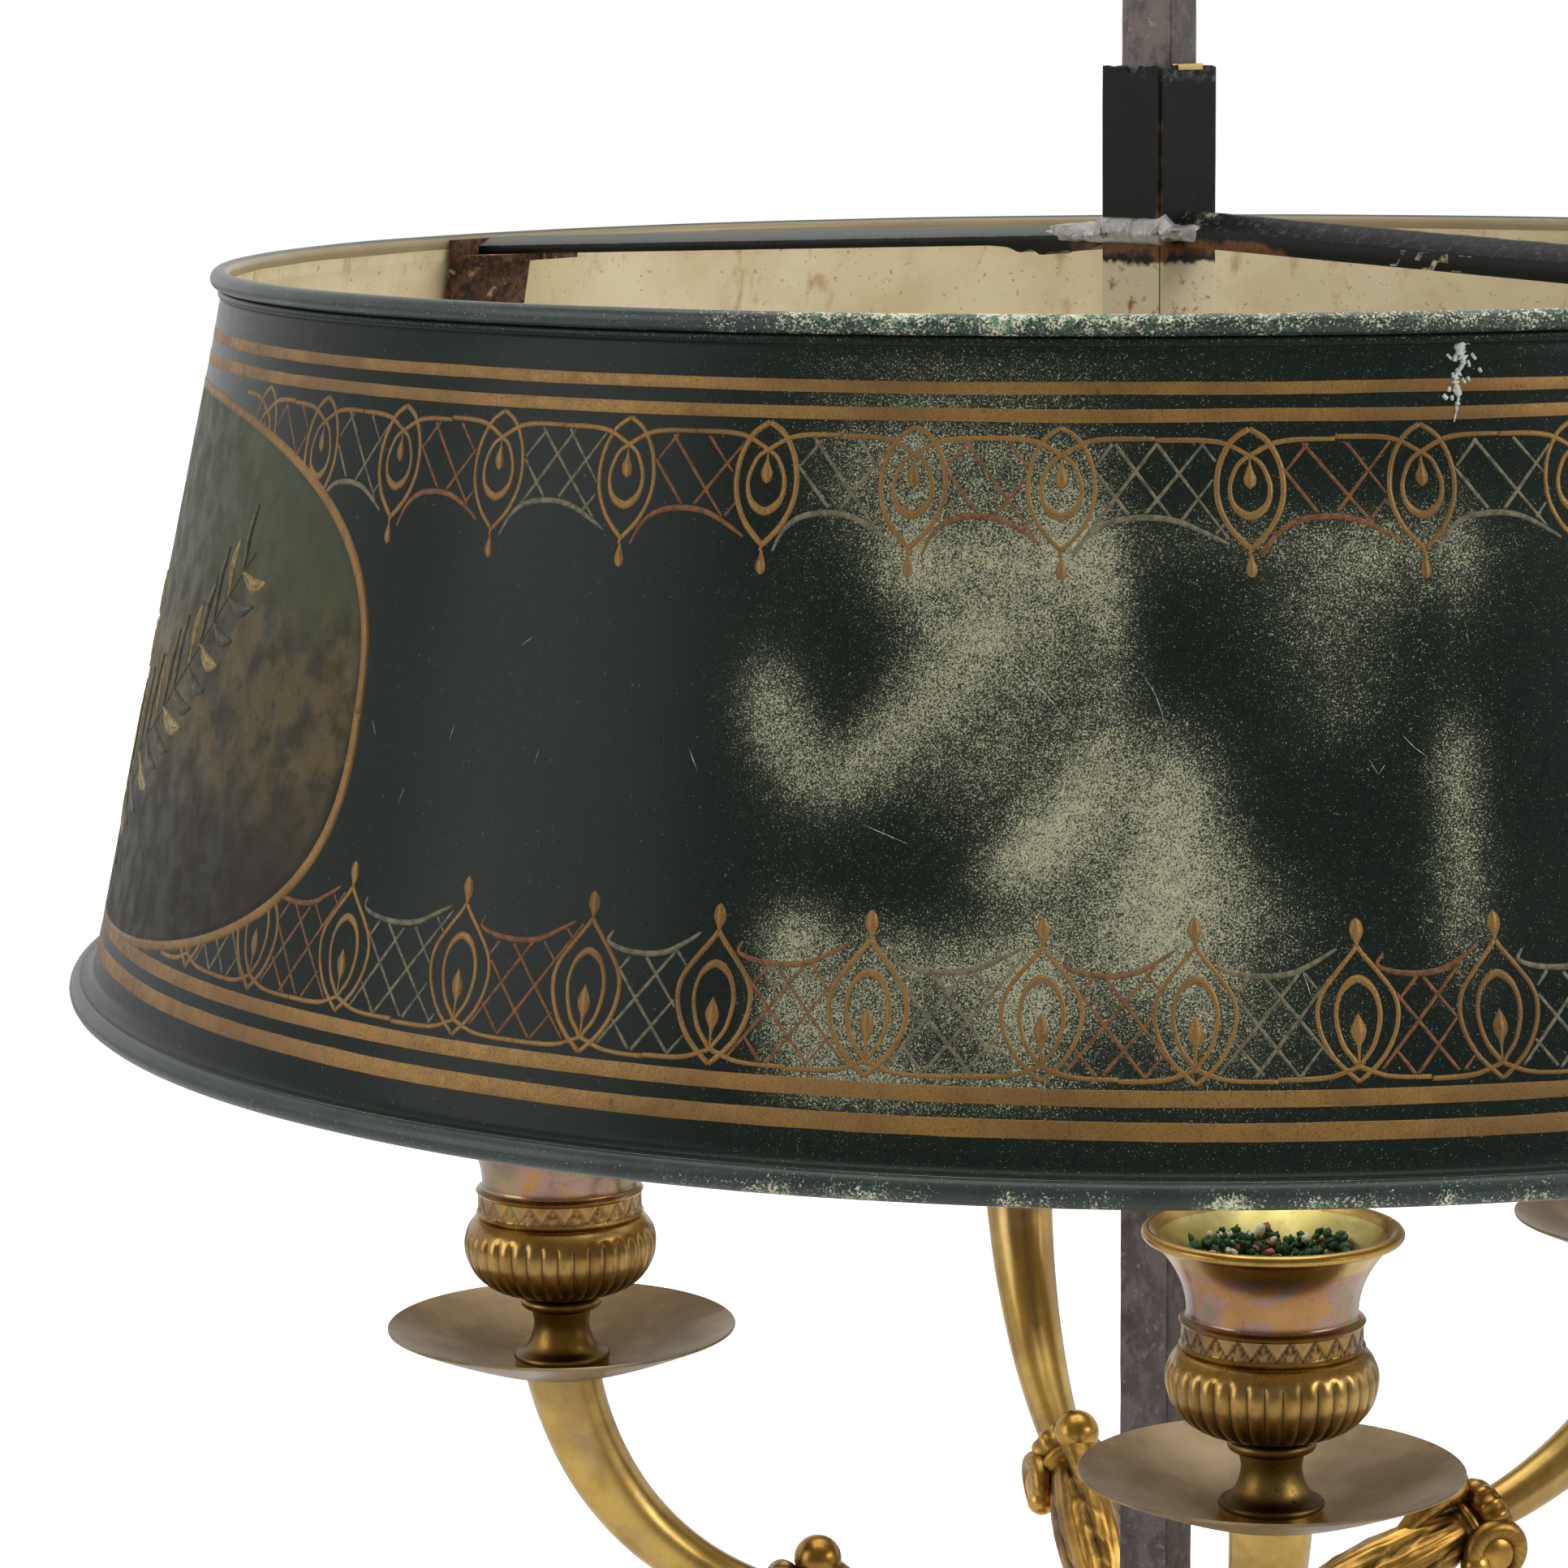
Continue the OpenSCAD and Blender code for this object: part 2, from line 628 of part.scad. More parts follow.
// Sheet bracket at each end of the strut, a seat and a back plate soldered to the shade's wall
module bracket(turn) {
    seat_len = 14;
    seat_up = seat_len * strut_slope;
    seat_z = strut_z - bracket_t;
    heel_z = seat_z - bracket_drop;
    heel_r = bracket_face_r + bracket_drop * wall_slope;
    color("saddlebrown")
    toward(turn)
    rotate([90, 0, 0]) linear_extrude(bracket_w, center = true)
        polygon([[strut_end_r - seat_len, seat_z + seat_up], [strut_end_r, seat_z], [heel_r - bracket_t, heel_z],
            [heel_r, heel_z], [bracket_face_r, seat_z], [bracket_face_r, bracket_top], [strut_end_r, bracket_top],
            [strut_end_r, strut_z], [strut_end_r - seat_len, strut_z + seat_up]]);
}
module bracket_near() { bracket(strut_turn); }
module bracket_far() { bracket(far_strut_turn); }

// Square tube folded from sheet, with an open seam down one corner
module collar() {
    seam_w = 0.6;
    color(lacquer)
    toward(strut_turn)
    translate([0, 0, collar_bottom])
    linear_extrude(collar_h)
    difference() {
        translate([-collar_w / 2, -collar_w / 2]) square(collar_w);
        translate([-collar_inner / 2, -collar_inner / 2]) square(collar_inner);
        translate([collar_w / 2, -collar_w / 2]) rotate(45) square([seam_w, 3 * collar_t], center = true);
    }
}

// Solder: a run over the far half's ridge where it meets the collar, and a lump along the collar's face
module collar_solder() {
    run_len = 20;
    solder_t = 0.8;
    lump_t = 1.8;
    lump_h = 5;
    eave = strut_eave * far_strut_h;
    top = far_strut_h + solder_t;
    color("silver") {
        toward(far_strut_turn)
            sloping_bar([[-strut_w / 2, eave], [0, far_strut_h], [strut_w / 2, eave],
                [strut_w / 2, eave + solder_t], [0, top], [-strut_w / 2, eave + solder_t]],
                strut_start_r, strut_start_r + run_len);
        toward(strut_turn) translate([-collar_w / 2, -collar_w / 2 - lump_t, strut_z + strut_rise])
            cube([collar_w, lump_t, lump_h]);
    }
}

// Brass leaf inside the collar that rubs on the post, folded over the collar's top edge
module spring_leaf() {
    inner = collar_inner / 2;
    color(brass)
    toward(strut_turn)
    union() {
        translate([inner - leaf_t, -leaf_w / 2, collar_top - leaf_len]) cube([leaf_t, leaf_w, leaf_len + leaf_t]);
        translate([inner - leaf_t, -leaf_w / 2, collar_top]) cube([collar_t + 2 * leaf_t, leaf_w, leaf_t]);
        translate([inner + collar_t, -leaf_w / 2, collar_top - leaf_lip]) cube([leaf_t, leaf_w, leaf_lip + leaf_t]);
    }
}

// ---------- nodes ----------

base_baize();
base_weight();
base_dish();
base_washer();
base_nut();
stem_socle();
stem_column();
stem_capital();
arm_hub();
hub_cap();
post();
finial();
sleeve(left_turn, 0);  // sleeve_left
sleeve(front_turn, 0);  // sleeve_front
sleeve(right_turn, right_arm_lift);  // sleeve_right
sleeve(back_turn, back_arm_lift);  // sleeve_back
horn_arm(left_turn, 0);  // arm_left
horn_arm(front_turn, 0);  // arm_front
horn_arm(right_turn, right_arm_lift);  // arm_right
horn_arm(back_turn, back_arm_lift);  // arm_back
drip_pan(left_turn, 0);  // drip_pan_left
drip_pan(front_turn, 0);  // drip_pan_front
drip_pan(right_turn, right_arm_lift);  // drip_pan_right
drip_pan(back_turn, back_arm_lift);  // drip_pan_back
candle_cup(left_turn, 0);  // candle_cup_left
candle_cup(front_turn, 0);  // candle_cup_front
candle_cup(right_turn, right_arm_lift);  // candle_cup_right
candle_cup(back_turn, back_arm_lift);  // candle_cup_back
shade_shell();
rim_wire_top();
rim_wire_bottom();
strut_near();
strut_far();
bracket_near();
bracket_far();
collar();
collar_solder();
spring_leaf();
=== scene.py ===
"""Four-light bouillotte lamp with a painted sheet-iron shade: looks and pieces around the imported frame."""
import random
from math import atan2, copysign, cos, degrees, exp, pi, radians, sin, tan

import bmesh
import bpy
import numpy as np
from mathutils import Matrix, Vector, noise


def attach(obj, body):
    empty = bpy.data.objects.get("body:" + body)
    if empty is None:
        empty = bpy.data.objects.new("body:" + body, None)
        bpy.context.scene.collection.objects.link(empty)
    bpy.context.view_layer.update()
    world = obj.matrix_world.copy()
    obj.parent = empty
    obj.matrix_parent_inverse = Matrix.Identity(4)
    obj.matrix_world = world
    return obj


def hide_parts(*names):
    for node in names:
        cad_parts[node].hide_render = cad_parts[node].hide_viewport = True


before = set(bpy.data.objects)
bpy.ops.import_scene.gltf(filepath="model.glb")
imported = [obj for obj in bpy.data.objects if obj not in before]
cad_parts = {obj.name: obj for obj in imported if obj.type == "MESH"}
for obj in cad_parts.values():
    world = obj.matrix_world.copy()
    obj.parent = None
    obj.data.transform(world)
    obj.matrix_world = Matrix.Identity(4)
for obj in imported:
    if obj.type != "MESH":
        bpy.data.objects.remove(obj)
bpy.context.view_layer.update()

rng = random.Random(1820)
scene = bpy.context.scene

# ---------------------------------------------------------------- sizes, in millimetres
# Directions are degrees from the front arm (-Y), turning towards the right arm (+X)
MM = 0.001
ARMS = {"left": (-90.0, 0.0), "front": (0.0, 0.0), "right": (104.0, 8.0), "back": (185.0, 8.0)}
REACH, PAN_FLOOR, HUB_Z = 120.4, 321.8, 244.0
POST_TURN, STRUT_TURN, FAR_STRUT_TURN = 53.0, 36.0, 224.0
STRUT_END, STRUT_LOW, STRUT_FALL = 179.3, 537.1, 0.03873
UNROLL = 200  # radius at which lengths round the shade are measured


def lin(rgb):
    """Linear colour of an sRGB triple, 0 to 255."""
    return tuple((c / 255 / 12.92) if c / 255 <= 0.04045 else ((c / 255 + 0.055) / 1.055) ** 2.4
                 for c in rgb) + (1.0,)


def wob(*at):
    """Smooth noise, -1 to 1, at a place."""
    return noise.noise(Vector(at))


def ring_wob(a, size, layer):
    """The same along a closed ring. a: radians round."""
    return wob(cos(a) * size, sin(a) * size, layer)


def smooth(x, lo, hi):
    t = np.clip((np.asarray(x, float) - lo) / (hi - lo), 0, 1)
    return t * t * (3 - 2 * t)


def ease(x, lo, hi):
    return float(smooth(x, lo, hi))


# ---------------------------------------------------------------- materials
class Socket:
    """A node's output, with + - * for maths nodes."""

    def __init__(self, nodes, out):
        self.nodes, self.out = nodes, out

    def __add__(self, other):
        return self.nodes.math("ADD", self, other)

    def __sub__(self, other):
        return self.nodes.math("SUBTRACT", self, other)

    def __mul__(self, other):
        return self.nodes.math("MULTIPLY", self, other)


class Nodes:
    """Short calls for shader nodes. A tuple is an sRGB colour, 0 to 255; a list is taken as it is."""

    def __init__(self, tree):
        self.tree = tree

    def put(self, socket, value):
        if isinstance(value, Socket):
            self.tree.links.new(value.out, socket)
        else:
            socket.default_value = lin(value) if isinstance(value, tuple) else value

    def node(self, kind, out=0, inputs=None, **settings):
        n = self.tree.nodes.new("ShaderNode" + kind)
        for key, value in settings.items():
            setattr(n, key, value)
        for key, value in (inputs or {}).items():
            self.put(n.inputs[key], value)
        return Socket(self, n.outputs[out]) if n.outputs else n

    def math(self, op, a, b=0.0, clamp=False):
        return self.node("Math", 0, {0: a, 1: b}, operation=op, use_clamp=clamp)

    def step(self, x, lo, hi, a=0.0, b=1.0, kind="SMOOTHSTEP"):
        return self.node("MapRange", "Result", {"Value": x, "From Min": lo, "From Max": hi, "To Min": a, "To Max": b},
                         interpolation_type=kind)


class Mat(Nodes):
    """A node material. Lengths are in millimetres."""

    def __init__(self, name, metallic=0.0, specular=0.5, sheen=0.0):
        self.material = bpy.data.materials.new(name)
        self.material.use_nodes = True
        super().__init__(self.material.node_tree)
        self.shader = self.tree.nodes["Principled BSDF"]
        self.place = self.node("TexCoord", "Object")
        for key, value in (("Metallic", metallic), ("Specular IOR Level", specular), ("Sheen Weight", sheen)):
            self.shader.inputs[key].default_value = value

    def attr(self, name):
        return self.node("Attribute", "Fac", attribute_name=name)

    def squeezed(self, z):
        """Coordinates whose pattern is drawn out along the lamp's height."""
        return self.node("Mapping", "Vector", {"Vector": self.place, "Scale": [1, 1, z]})

    def noise(self, size, detail=3.0, rough=0.7, bend=0.0, place=None):
        return self.node("TexNoise", "Fac", {"Vector": place or self.place, "Scale": 1000.0 / size, "Detail": detail,
                                             "Roughness": rough, "Distortion": bend})

    def spots(self, size, lo, hi, most=1.0, detail=4, rough=0.7):
        return self.step(self.noise(size, detail, rough), lo, hi, 0.0, most)

    def mix(self, fac, a, b):
        return self.node("Mix", 2, {0: fac, 6: a, 7: b}, data_type="RGBA")

    def worn(self, grain=0.28):
        """Share of bare, abraded ground that shows through paint: speckled by the surface's own grain."""
        # on the shade wall this attribute also carries a painted highlight along the ridge crest
        self.wear, self.fine, self.mid = self.attr("wear"), self.noise(grain, 2), self.noise(2.4, 3, 0.6)
        self.mask = self.step(self.fine + (self.wear - 0.5) * 0.57 + (self.mid - 0.5) * 0.16, 0.42, 0.60)
        return self

    def done(self, colour, rough, heights, strength, depth):
        """Sets the shader. heights, 0 to 1, stand depth millimetres high."""
        bump = self.node("Bump", "Normal", {"Height": heights, "Strength": strength, "Distance": depth * MM})
        for key, value in (("Base Color", colour), ("Roughness", rough), ("Normal", bump)):
            self.put(self.shader.inputs[key], value)
        return self.material


PLAIN = 0.55  # roughness of a broad, soft noise


def lacquer():
    m = Mat("painted_lacquer", specular=0.10).worn()
    dark = m.mix(m.noise(30, 3, PLAIN), (13, 21, 17), (24, 32, 27))
    dark = m.mix(m.step(m.wear, 0.05, 0.8, 0.0, 0.32), dark, (92, 98, 82))
    dark = m.mix(m.spots(0.6, 0.735, 0.77, 1.0, 1, 0.5) * 0.35, dark, (110, 118, 110))
    ground = m.mix(m.noise(1.1, 3, PLAIN), (128, 131, 107), (182, 178, 146))
    return m.done(m.mix(m.mask, dark, ground), m.step(m.mask * 0.5 + m.mid * 0.4, 0.1, 0.9, 0.27, 0.62),
                  m.mask * 0.6 + m.fine * 0.4, 0.3, 0.04)


def lacquer_edge():
    """The rolled edges: the same paint, rubbed to the ground on the crown, cream on the inner side."""
    m = Mat("rubbed_edge", specular=0.3).worn(0.45)
    dark = m.mix(m.noise(9, 3, PLAIN), (24, 32, 31), (52, 62, 58))
    green = m.mix(m.spots(1.7, 0.46, 0.58), (198, 196, 168), (78, 112, 86))
    cream = m.mix(m.noise(14, 3, PLAIN), (120, 106, 78), (146, 132, 100))
    return m.done(m.mix(m.attr("inner"), m.mix(m.mask, dark, green), cream), m.step(m.mask, 0, 1, 0.33, 0.6),
                  m.mask * 0.5 + m.fine * 0.5, 0.5, 0.08)


def inside_paint():
    m = Mat("cream_paint", specular=0.3)
    streak = m.noise(7, 4, 0.6, 0.4, m.squeezed(0.35))
    base = m.mix(m.spots(38, 0.35, 0.65, rough=0.6), (186, 170, 132), (205, 192, 158))
    base = m.mix(m.step(streak, 0.56, 0.74, 0.0, 0.7), base, (150, 118, 72))
    base = m.mix(m.spots(1.3, 0.66, 0.72, 1.0, 2, PLAIN) * 0.6, base, (112, 78, 44))
    return m.done(base, m.step(streak, 0.3, 0.7, 0.5, 0.72), m.noise(0.6, 2, PLAIN) * 0.4 + streak * 0.6, 0.4, 0.12)


def gilding():
    m = Mat("gilding", metallic=0.35, specular=0.35).worn(0.3)
    grain = m.spots(0.25, 0.50, 0.64, detail=2)
    gold = m.mix(m.spots(22, 0.38, 0.62, 1.0, 3, PLAIN), (113, 83, 40), (136, 102, 50))
    gold = m.mix(grain * 0.7, gold, (76, 54, 30))
    hair = m.step(m.noise(0.6, 3, 0.7, 0.4, m.squeezed(0.22)), 0.60, 0.66)
    gold = m.mix(hair * 0.5, gold, (86, 58, 30))
    gold = m.mix(m.spots(2.6, 0.64, 0.70) * 0.65, gold, (70, 58, 38))
    rubbed = m.mix(m.noise(1.2, 2, PLAIN), (134, 112, 74), (96, 74, 44))
    return m.done(m.mix(m.mask * 0.6, gold, rubbed), m.step(m.mid, 0.3, 0.7, 0.40, 0.58),
                  grain * 0.5 + m.mid * 0.5, 0.4, 0.05)


def line_paint(name, light, deep):
    m = Mat(name, specular=0.25).worn(0.3)
    paint = m.mix(m.spots(1.6, 0.36, 0.64, detail=3), light, deep)
    return m.done(m.mix(m.mask * 0.4, paint, (120, 112, 84)), m.step(m.mid, 0.3, 0.7, 0.42, 0.6), m.fine, 0.3, 0.03)


def picture_ground():
    """Clouded ground of the medallion: green above, ochre and brown in the middle, dark below."""
    m = Mat("medallion_ground", specular=0.14)
    height = m.node("SeparateXYZ", "Z", {"Vector": m.place})
    level = height + (m.noise(34, 4, 0.6, 0.5) - 0.5) * 0.030
    sky = m.mix(m.noise(12, 4, PLAIN), (37, 49, 33), (66, 68, 42))
    field = m.mix(m.spots(9, 0.4, 0.62, rough=0.65), (74, 64, 38), (44, 40, 26))
    base = m.mix(m.step(level, 0.476, 0.492), field, sky)
    base = m.mix(m.step(level, 0.438, 0.462), (35, 31, 22), base)
    base = m.mix(m.spots(4.5, 0.56, 0.68, 0.5), base, (42, 40, 29))
    base = m.mix(m.spots(0.5, 0.6, 0.68, detail=3) * 0.35, base, (26, 26, 20))
    return m.done(base, m.step(m.noise(6, 3, PLAIN), 0.3, 0.7, 0.4, 0.6), m.noise(0.9, 3, PLAIN), 0.3, 0.05)


def brass(name, light, deep, dirt, low=0.20, high=0.42, patina=0.5, tint=0.0):
    """Old lacquered brass: warm metal, brown patina in hollows and soft clouds, faint rainbow tarnish."""
    m = Mat(name, metallic=1.0)
    fine = m.noise(0.9, 3, 0.65)
    base = m.mix(m.step(m.noise(16, 4, 0.6, 0.3), 0.36, 0.64), light, deep)
    if tint:
        hue = m.noise(9, 2, 0.5, 0.8)
        rainbow = m.mix(m.step(hue, 0.40, 0.50), (152, 106, 80), (134, 106, 124))
        rainbow = m.mix(m.step(hue, 0.52, 0.60), rainbow, (108, 112, 106))
        base = m.mix(m.attr("tarnish") * tint, base, rainbow)
    freckle = m.spots(1.7, 0.60, 0.70, detail=3)
    # the attribute read here darkens toward the dirt colour: patina in hollows, and on the cups painted shade too
    shade = m.math("ADD", m.attr("soil_and_shade") * 0.9, freckle * (0.25 * patina), True)
    shade = m.math("ADD", shade, m.spots(5, 0.56, 0.75, 0.3 * patina), True)
    return m.done(m.mix(shade, base, dirt), m.step(shade * 0.6 + fine * 0.4, 0.1, 0.8, low, high),
                  fine * 0.6 + m.noise(6, 3, PLAIN) * 0.4, 0.22, 0.07)


def pan_bronze():
    m = Mat("pan_bronze", metallic=0.75)
    cloud, fine = m.noise(20, 4, 0.6), m.noise(0.5)
    base = m.mix(m.step(cloud, 0.35, 0.65), (140, 120, 90), (110, 92, 68))
    base = m.mix(m.spots(2.2, 0.66, 0.74, detail=3) * 0.5, base, (74, 58, 38))
    return m.done(base, m.step(cloud * 0.6 + fine * 0.4, 0.3, 0.7, 0.34, 0.50), fine, 0.25, 0.05)


def post_iron():
    """Worn square bar: mauve-grey, mottled, with painted shade darkening it below the shade, and one face darker."""
    m = Mat("post_iron", metallic=0.3, specular=0.35)
    blotch, fine = m.noise(4.2, 5, 0.66, 0.2, m.squeezed(0.6)), m.noise(0.55)
    base = m.mix(m.step(blotch, 0.40, 0.60), (80, 72, 72), (116, 107, 104))
    base = m.mix(m.spots(2.0, 0.58, 0.70, 0.75), base, (150, 143, 139))
    base = m.mix(m.spots(9, 0.57, 0.70, 0.7), base, (60, 50, 48))
    base = m.mix(m.step(fine, 0.60, 0.72, 0.0, 0.4), base, (50, 42, 40))
    # painted shade: darker below the shade's lower edge, where the shade's shadow falls on the bar
    low = m.step(m.node("SeparateXYZ", "Z", {"Vector": m.place}), 0.39, 0.44, 0.30, 0.0)
    # the attribute read here makes one face of the bar darker, in mottled patches
    darkening = m.math("ADD", low, m.attr("darkening") * m.step(m.noise(3, 4), 0.35, 0.6, 0.3, 0.75), True)
    return m.done(m.mix(darkening, base, (56, 46, 42)), m.step(blotch, 0.35, 0.65, 0.42, 0.62),
                  fine * 0.5 + blotch * 0.5, 0.5, 0.12)


def blackened():
    """Collar and strut: black paint on sheet, scuffed grey-green (on the strut's top faces also a painted highlight),
    with brown rust and old cream paint.
    """
    m = Mat("blackened_iron", specular=0.12)
    fine = m.noise(0.4)
    # rub: scuffed grey-green, which on the strut's top faces is also a painted highlight
    rub = m.step(m.attr("scuff_and_sheen") * 0.6 + m.noise(1.6, 4, 0.75) * 0.6, 0.46, 0.72)
    red = m.step(m.attr("rust") * 0.7 + m.noise(2.6, 4) * 0.6, 0.55, 0.80)
    old = m.step(m.attr("cream") * 0.8 + m.noise(3.4, 4) * 0.5, 0.62, 0.78)
    base = m.mix(m.noise(5, 4, 0.65), (10, 12, 11), (22, 25, 23))
    base = m.mix(rub, base, m.mix(fine, (68, 72, 68), (110, 113, 106)))
    base = m.mix(red, base, m.mix(m.noise(1.2, 3, PLAIN), (112, 78, 48), (66, 42, 28)))
    base = m.mix(old, base, m.mix(m.spots(3, 0.54, 0.68), (178, 168, 140), (128, 94, 58)))
    return m.done(base, m.step(rub + fine * 0.4, 0.1, 1.2, 0.38, 0.62), rub * 0.4 + fine * 0.6, 0.5, 0.09)


def mottled(name, metallic, specular, cloud, light, deep, rough, bump, edge=None, patch=None):
    """Two clouded colours, with edge where they meet sharply, and perhaps patches of a third."""
    m = Mat(name, metallic, specular)
    base = m.mix(m.step(m.noise(*cloud), *edge) if edge else m.noise(*cloud), light, deep)
    if patch:
        base = m.mix(m.spots(*patch[:3]), base, patch[3])
    size, low, high = rough
    grain, strength, depth = bump
    return m.done(base, m.step(m.noise(size, 3, PLAIN), 0.3, 0.7, low, high), m.noise(*grain), strength, depth)


def felt():
    m = Mat("baize", specular=0.1, sheen=0.5)
    fibre = m.noise(0.35, 3, 0.7, 1.5, m.squeezed(1))
    base = m.mix(m.noise(14, 4, PLAIN), (34, 62, 44), (48, 78, 54))
    base = m.mix(m.step(fibre, 0.5, 0.7, 0.0, 0.6), base, (84, 110, 80))
    return m.done(base, m.step(fibre, 0.3, 0.7, 0.85, 1.0), fibre, 0.8, 0.25)


def crumbs():
    m = Mat("dried_moss", specular=0.3)
    tint = m.attr("tint")
    base = m.mix(m.noise(0.7), (14, 48, 32), (58, 96, 62))
    base = m.mix(m.step(tint, 0.80, 0.82), base, (216, 216, 196))
    base = m.mix(m.step(tint, 0.92, 0.94), base, (190, 112, 108))
    return m.done(base, m.step(m.noise(0.5, 2, PLAIN), 0.3, 0.7, 0.45, 0.8), m.noise(0.4, 3, PLAIN), 0.7, 0.15)


LACQUER, EDGE, CREAM, GILT = lacquer(), lacquer_edge(), inside_paint(), gilding()
RUST_LINE = line_paint("rust_line", (116, 73, 38), (80, 51, 27))
GREY_LINE = line_paint("grey_line", (109, 101, 78), (72, 69, 54))
LEAF_DARK = line_paint("leaf_dark", (54, 58, 36), (34, 34, 22))
LEAF_LIGHT = line_paint("leaf_light", (142, 122, 72), (108, 84, 46))
SCRATCH = line_paint("scratch", (190, 196, 186), (96, 104, 98))
GROUND = picture_ground()
BRASS = brass("brass", (196, 156, 78), (158, 120, 58), (70, 50, 24))
CUP_BRASS = brass("cup_brass", (182, 148, 80), (142, 110, 56), (44, 32, 14), 0.22, 0.44, 0.8, 0.6)
HORN_BRASS = brass("horn_brass", (188, 156, 86), (156, 126, 68), (84, 62, 30), 0.28, 0.46, 0.5, 0.3)
MOUTH_BRASS = brass("mouth_brass", (198, 188, 126), (160, 148, 88), (84, 72, 36), 0.3, 0.5, 0.8)
PALE_BRASS = brass("pale_brass", (206, 188, 132), (170, 146, 92), (92, 74, 44), 0.3, 0.5, 0.6)
LEAF_BRASS = brass("leaf_brass", (186, 146, 72), (140, 104, 48), (62, 44, 22), 0.28, 0.5, 1.0)
PAN, IRON, BLACK, FELT, CRUMBS = pan_bronze(), post_iron(), blackened(), felt(), crumbs()
SOLDER = mottled("solder", 0.7, 0.5, (1.8, 4), (162, 162, 158), (122, 119, 115), (0.8, 0.35, 0.6),
                 ((1.3, 4), 0.7, 0.25), patch=(3.2, 0.55, 0.68, (92, 70, 58)))
RUSTY = mottled("rusty_sheet", 0.2, 0.3, (2.4, 5), (40, 30, 24), (98, 66, 42), (0.9, 0.6, 0.85),
                ((0.7, 4, 0.75), 0.8, 0.2), (0.38, 0.62), (4.5, 0.58, 0.68, (166, 142, 102)))
WIRE = mottled("wire_iron", 0.7, 0.4, (2, 4), (96, 88, 82), (132, 92, 62), (1, 0.45, 0.7), ((0.5, 3, PLAIN), 0.4, 0.06))
PASTE = mottled("filler_paste", 0.0, 0.3, (0.8,), (214, 216, 206), (128, 134, 124), (0.8, 0.5, 0.8), ((0.5,), 0.8, 0.2))


# ---------------------------------------------------------------- mesh helpers
def added(name, data):
    obj = bpy.data.objects.new(name, data)
    scene.collection.objects.link(obj)
    return obj


def piece(name, verts, faces, mats, body, slot, nodes=(), index=None, attrs=None, sharp=None):
    """A mesh piece from points in millimetres, riding on a body."""
    mesh = bpy.data.meshes.new(name)
    mesh.from_pydata((np.asarray(verts, float) * MM).tolist(), [], faces)
    for m in mats if isinstance(mats, list) else [mats]:
        mesh.materials.append(m)
    if index is not None:
        mesh.polygons.foreach_set("material_index", np.asarray(index, np.int32))
    for key, values in (attrs or {}).items():
        layer = mesh.attributes.new(key, "FLOAT", "POINT")
        layer.data.foreach_set("value", np.asarray(values, np.float32))
    bm = bmesh.new()
    bm.from_mesh(mesh)
    bmesh.ops.recalc_face_normals(bm, faces=bm.faces)
    bm.to_mesh(mesh)
    bm.free()
    mesh.polygons.foreach_set("use_smooth", np.ones(len(mesh.polygons), bool))
    if sharp:
        mesh.set_sharp_from_angle(angle=radians(sharp))
    mesh.update()
    obj = added(name, mesh)
    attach(obj, body)
    if nodes:
        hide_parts(*nodes)
    return obj


def toward(points, turn):
    """Points drawn with the arm along +X, turned to a direction."""
    a = radians(turn - 90)
    x, y, z = np.asarray(points, float).T
    return np.stack([x * cos(a) - y * sin(a), x * sin(a) + y * cos(a), z], -1)


def skin(sizes, closed=False):
    """Faces between rows of points that go round; a row may be one point. closed joins the last row to the first."""
    rows = list(zip(np.cumsum([0] + sizes[:-1]).tolist(), sizes))
    faces = []
    for (a, m), (b, n) in zip(rows, rows[1:] + rows[:closed]):
        for j in range(max(m, n)):
            corners = dict.fromkeys((a + j % m, a + (j + 1) % m, b + (j + 1) % n, b + j % n))
            if len(corners) > 2:
                faces.append(tuple(corners))
    return faces


def lathe(profile, n, radial=None, closed=False):
    """Turned shape about the Z axis. Points on the axis become one vertex. radial(angles, row) adds to the radius."""
    angles = np.linspace(0, 2 * pi, n, endpoint=False)
    rows = []
    for i, (r, z) in enumerate(profile):
        rr = r + (radial(angles, i) if radial and r > 1e-6 else np.zeros(n))
        row = np.stack([rr * np.cos(angles), rr * np.sin(angles), np.full(n, z)], -1)
        rows.append([(0.0, 0.0, z)] if r < 1e-6 else row)
    return np.concatenate(rows), skin([len(row) for row in rows], closed)


def turns(n):
    """n angles round a circle, in radians."""
    return [2 * pi * k / n for k in range(n)]


def arc(cx, cy, r, a0, a1, n=12):
    return [(cx + r * cos(radians(a0 + (a1 - a0) * i / n)), cy + r * sin(radians(a0 + (a1 - a0) * i / n)))
            for i in range(n + 1)]


def grow(profile, points):
    """Adds points to a profile and says which rows they make."""
    profile += points
    return range(len(profile) - len(points), len(profile))


def mirror(points):
    return [(-x, z) for x, z in points[::-1]]


def rings(points, n):
    """Faces of a closed tube whose rings of n points follow each other."""
    return skin([n] * (len(points) // n)) + [tuple(range(n)), tuple(range(len(points) - n, len(points)))]


def heading(path):
    """Unit direction of a path at each of its points."""
    ahead = np.gradient(np.asarray(path, float), axis=0)
    return ahead / np.linalg.norm(ahead, axis=1)[:, None]


def tube(path, radius, n, flat):
    """Tube along a path in the XZ plane, with its own radius at each point. flat squeezes it across the plane."""
    verts = []
    for (x, z), (dx, dz), r in zip(path, heading(path), radius):
        for b in turns(n):
            up, side = r * cos(b), r * sin(b) * flat
            verts.append((x - dz * up, side, z + dx * up))
    return np.array(verts), rings(verts, n)


def merge(*parts):
    """Several (verts, faces) as one."""
    verts, faces = [], []
    for v, f in parts:
        start = len(verts)
        verts += [tuple(p) for p in v]
        faces += [tuple(i + start for i in q) for q in f]
    return np.array(verts), faces


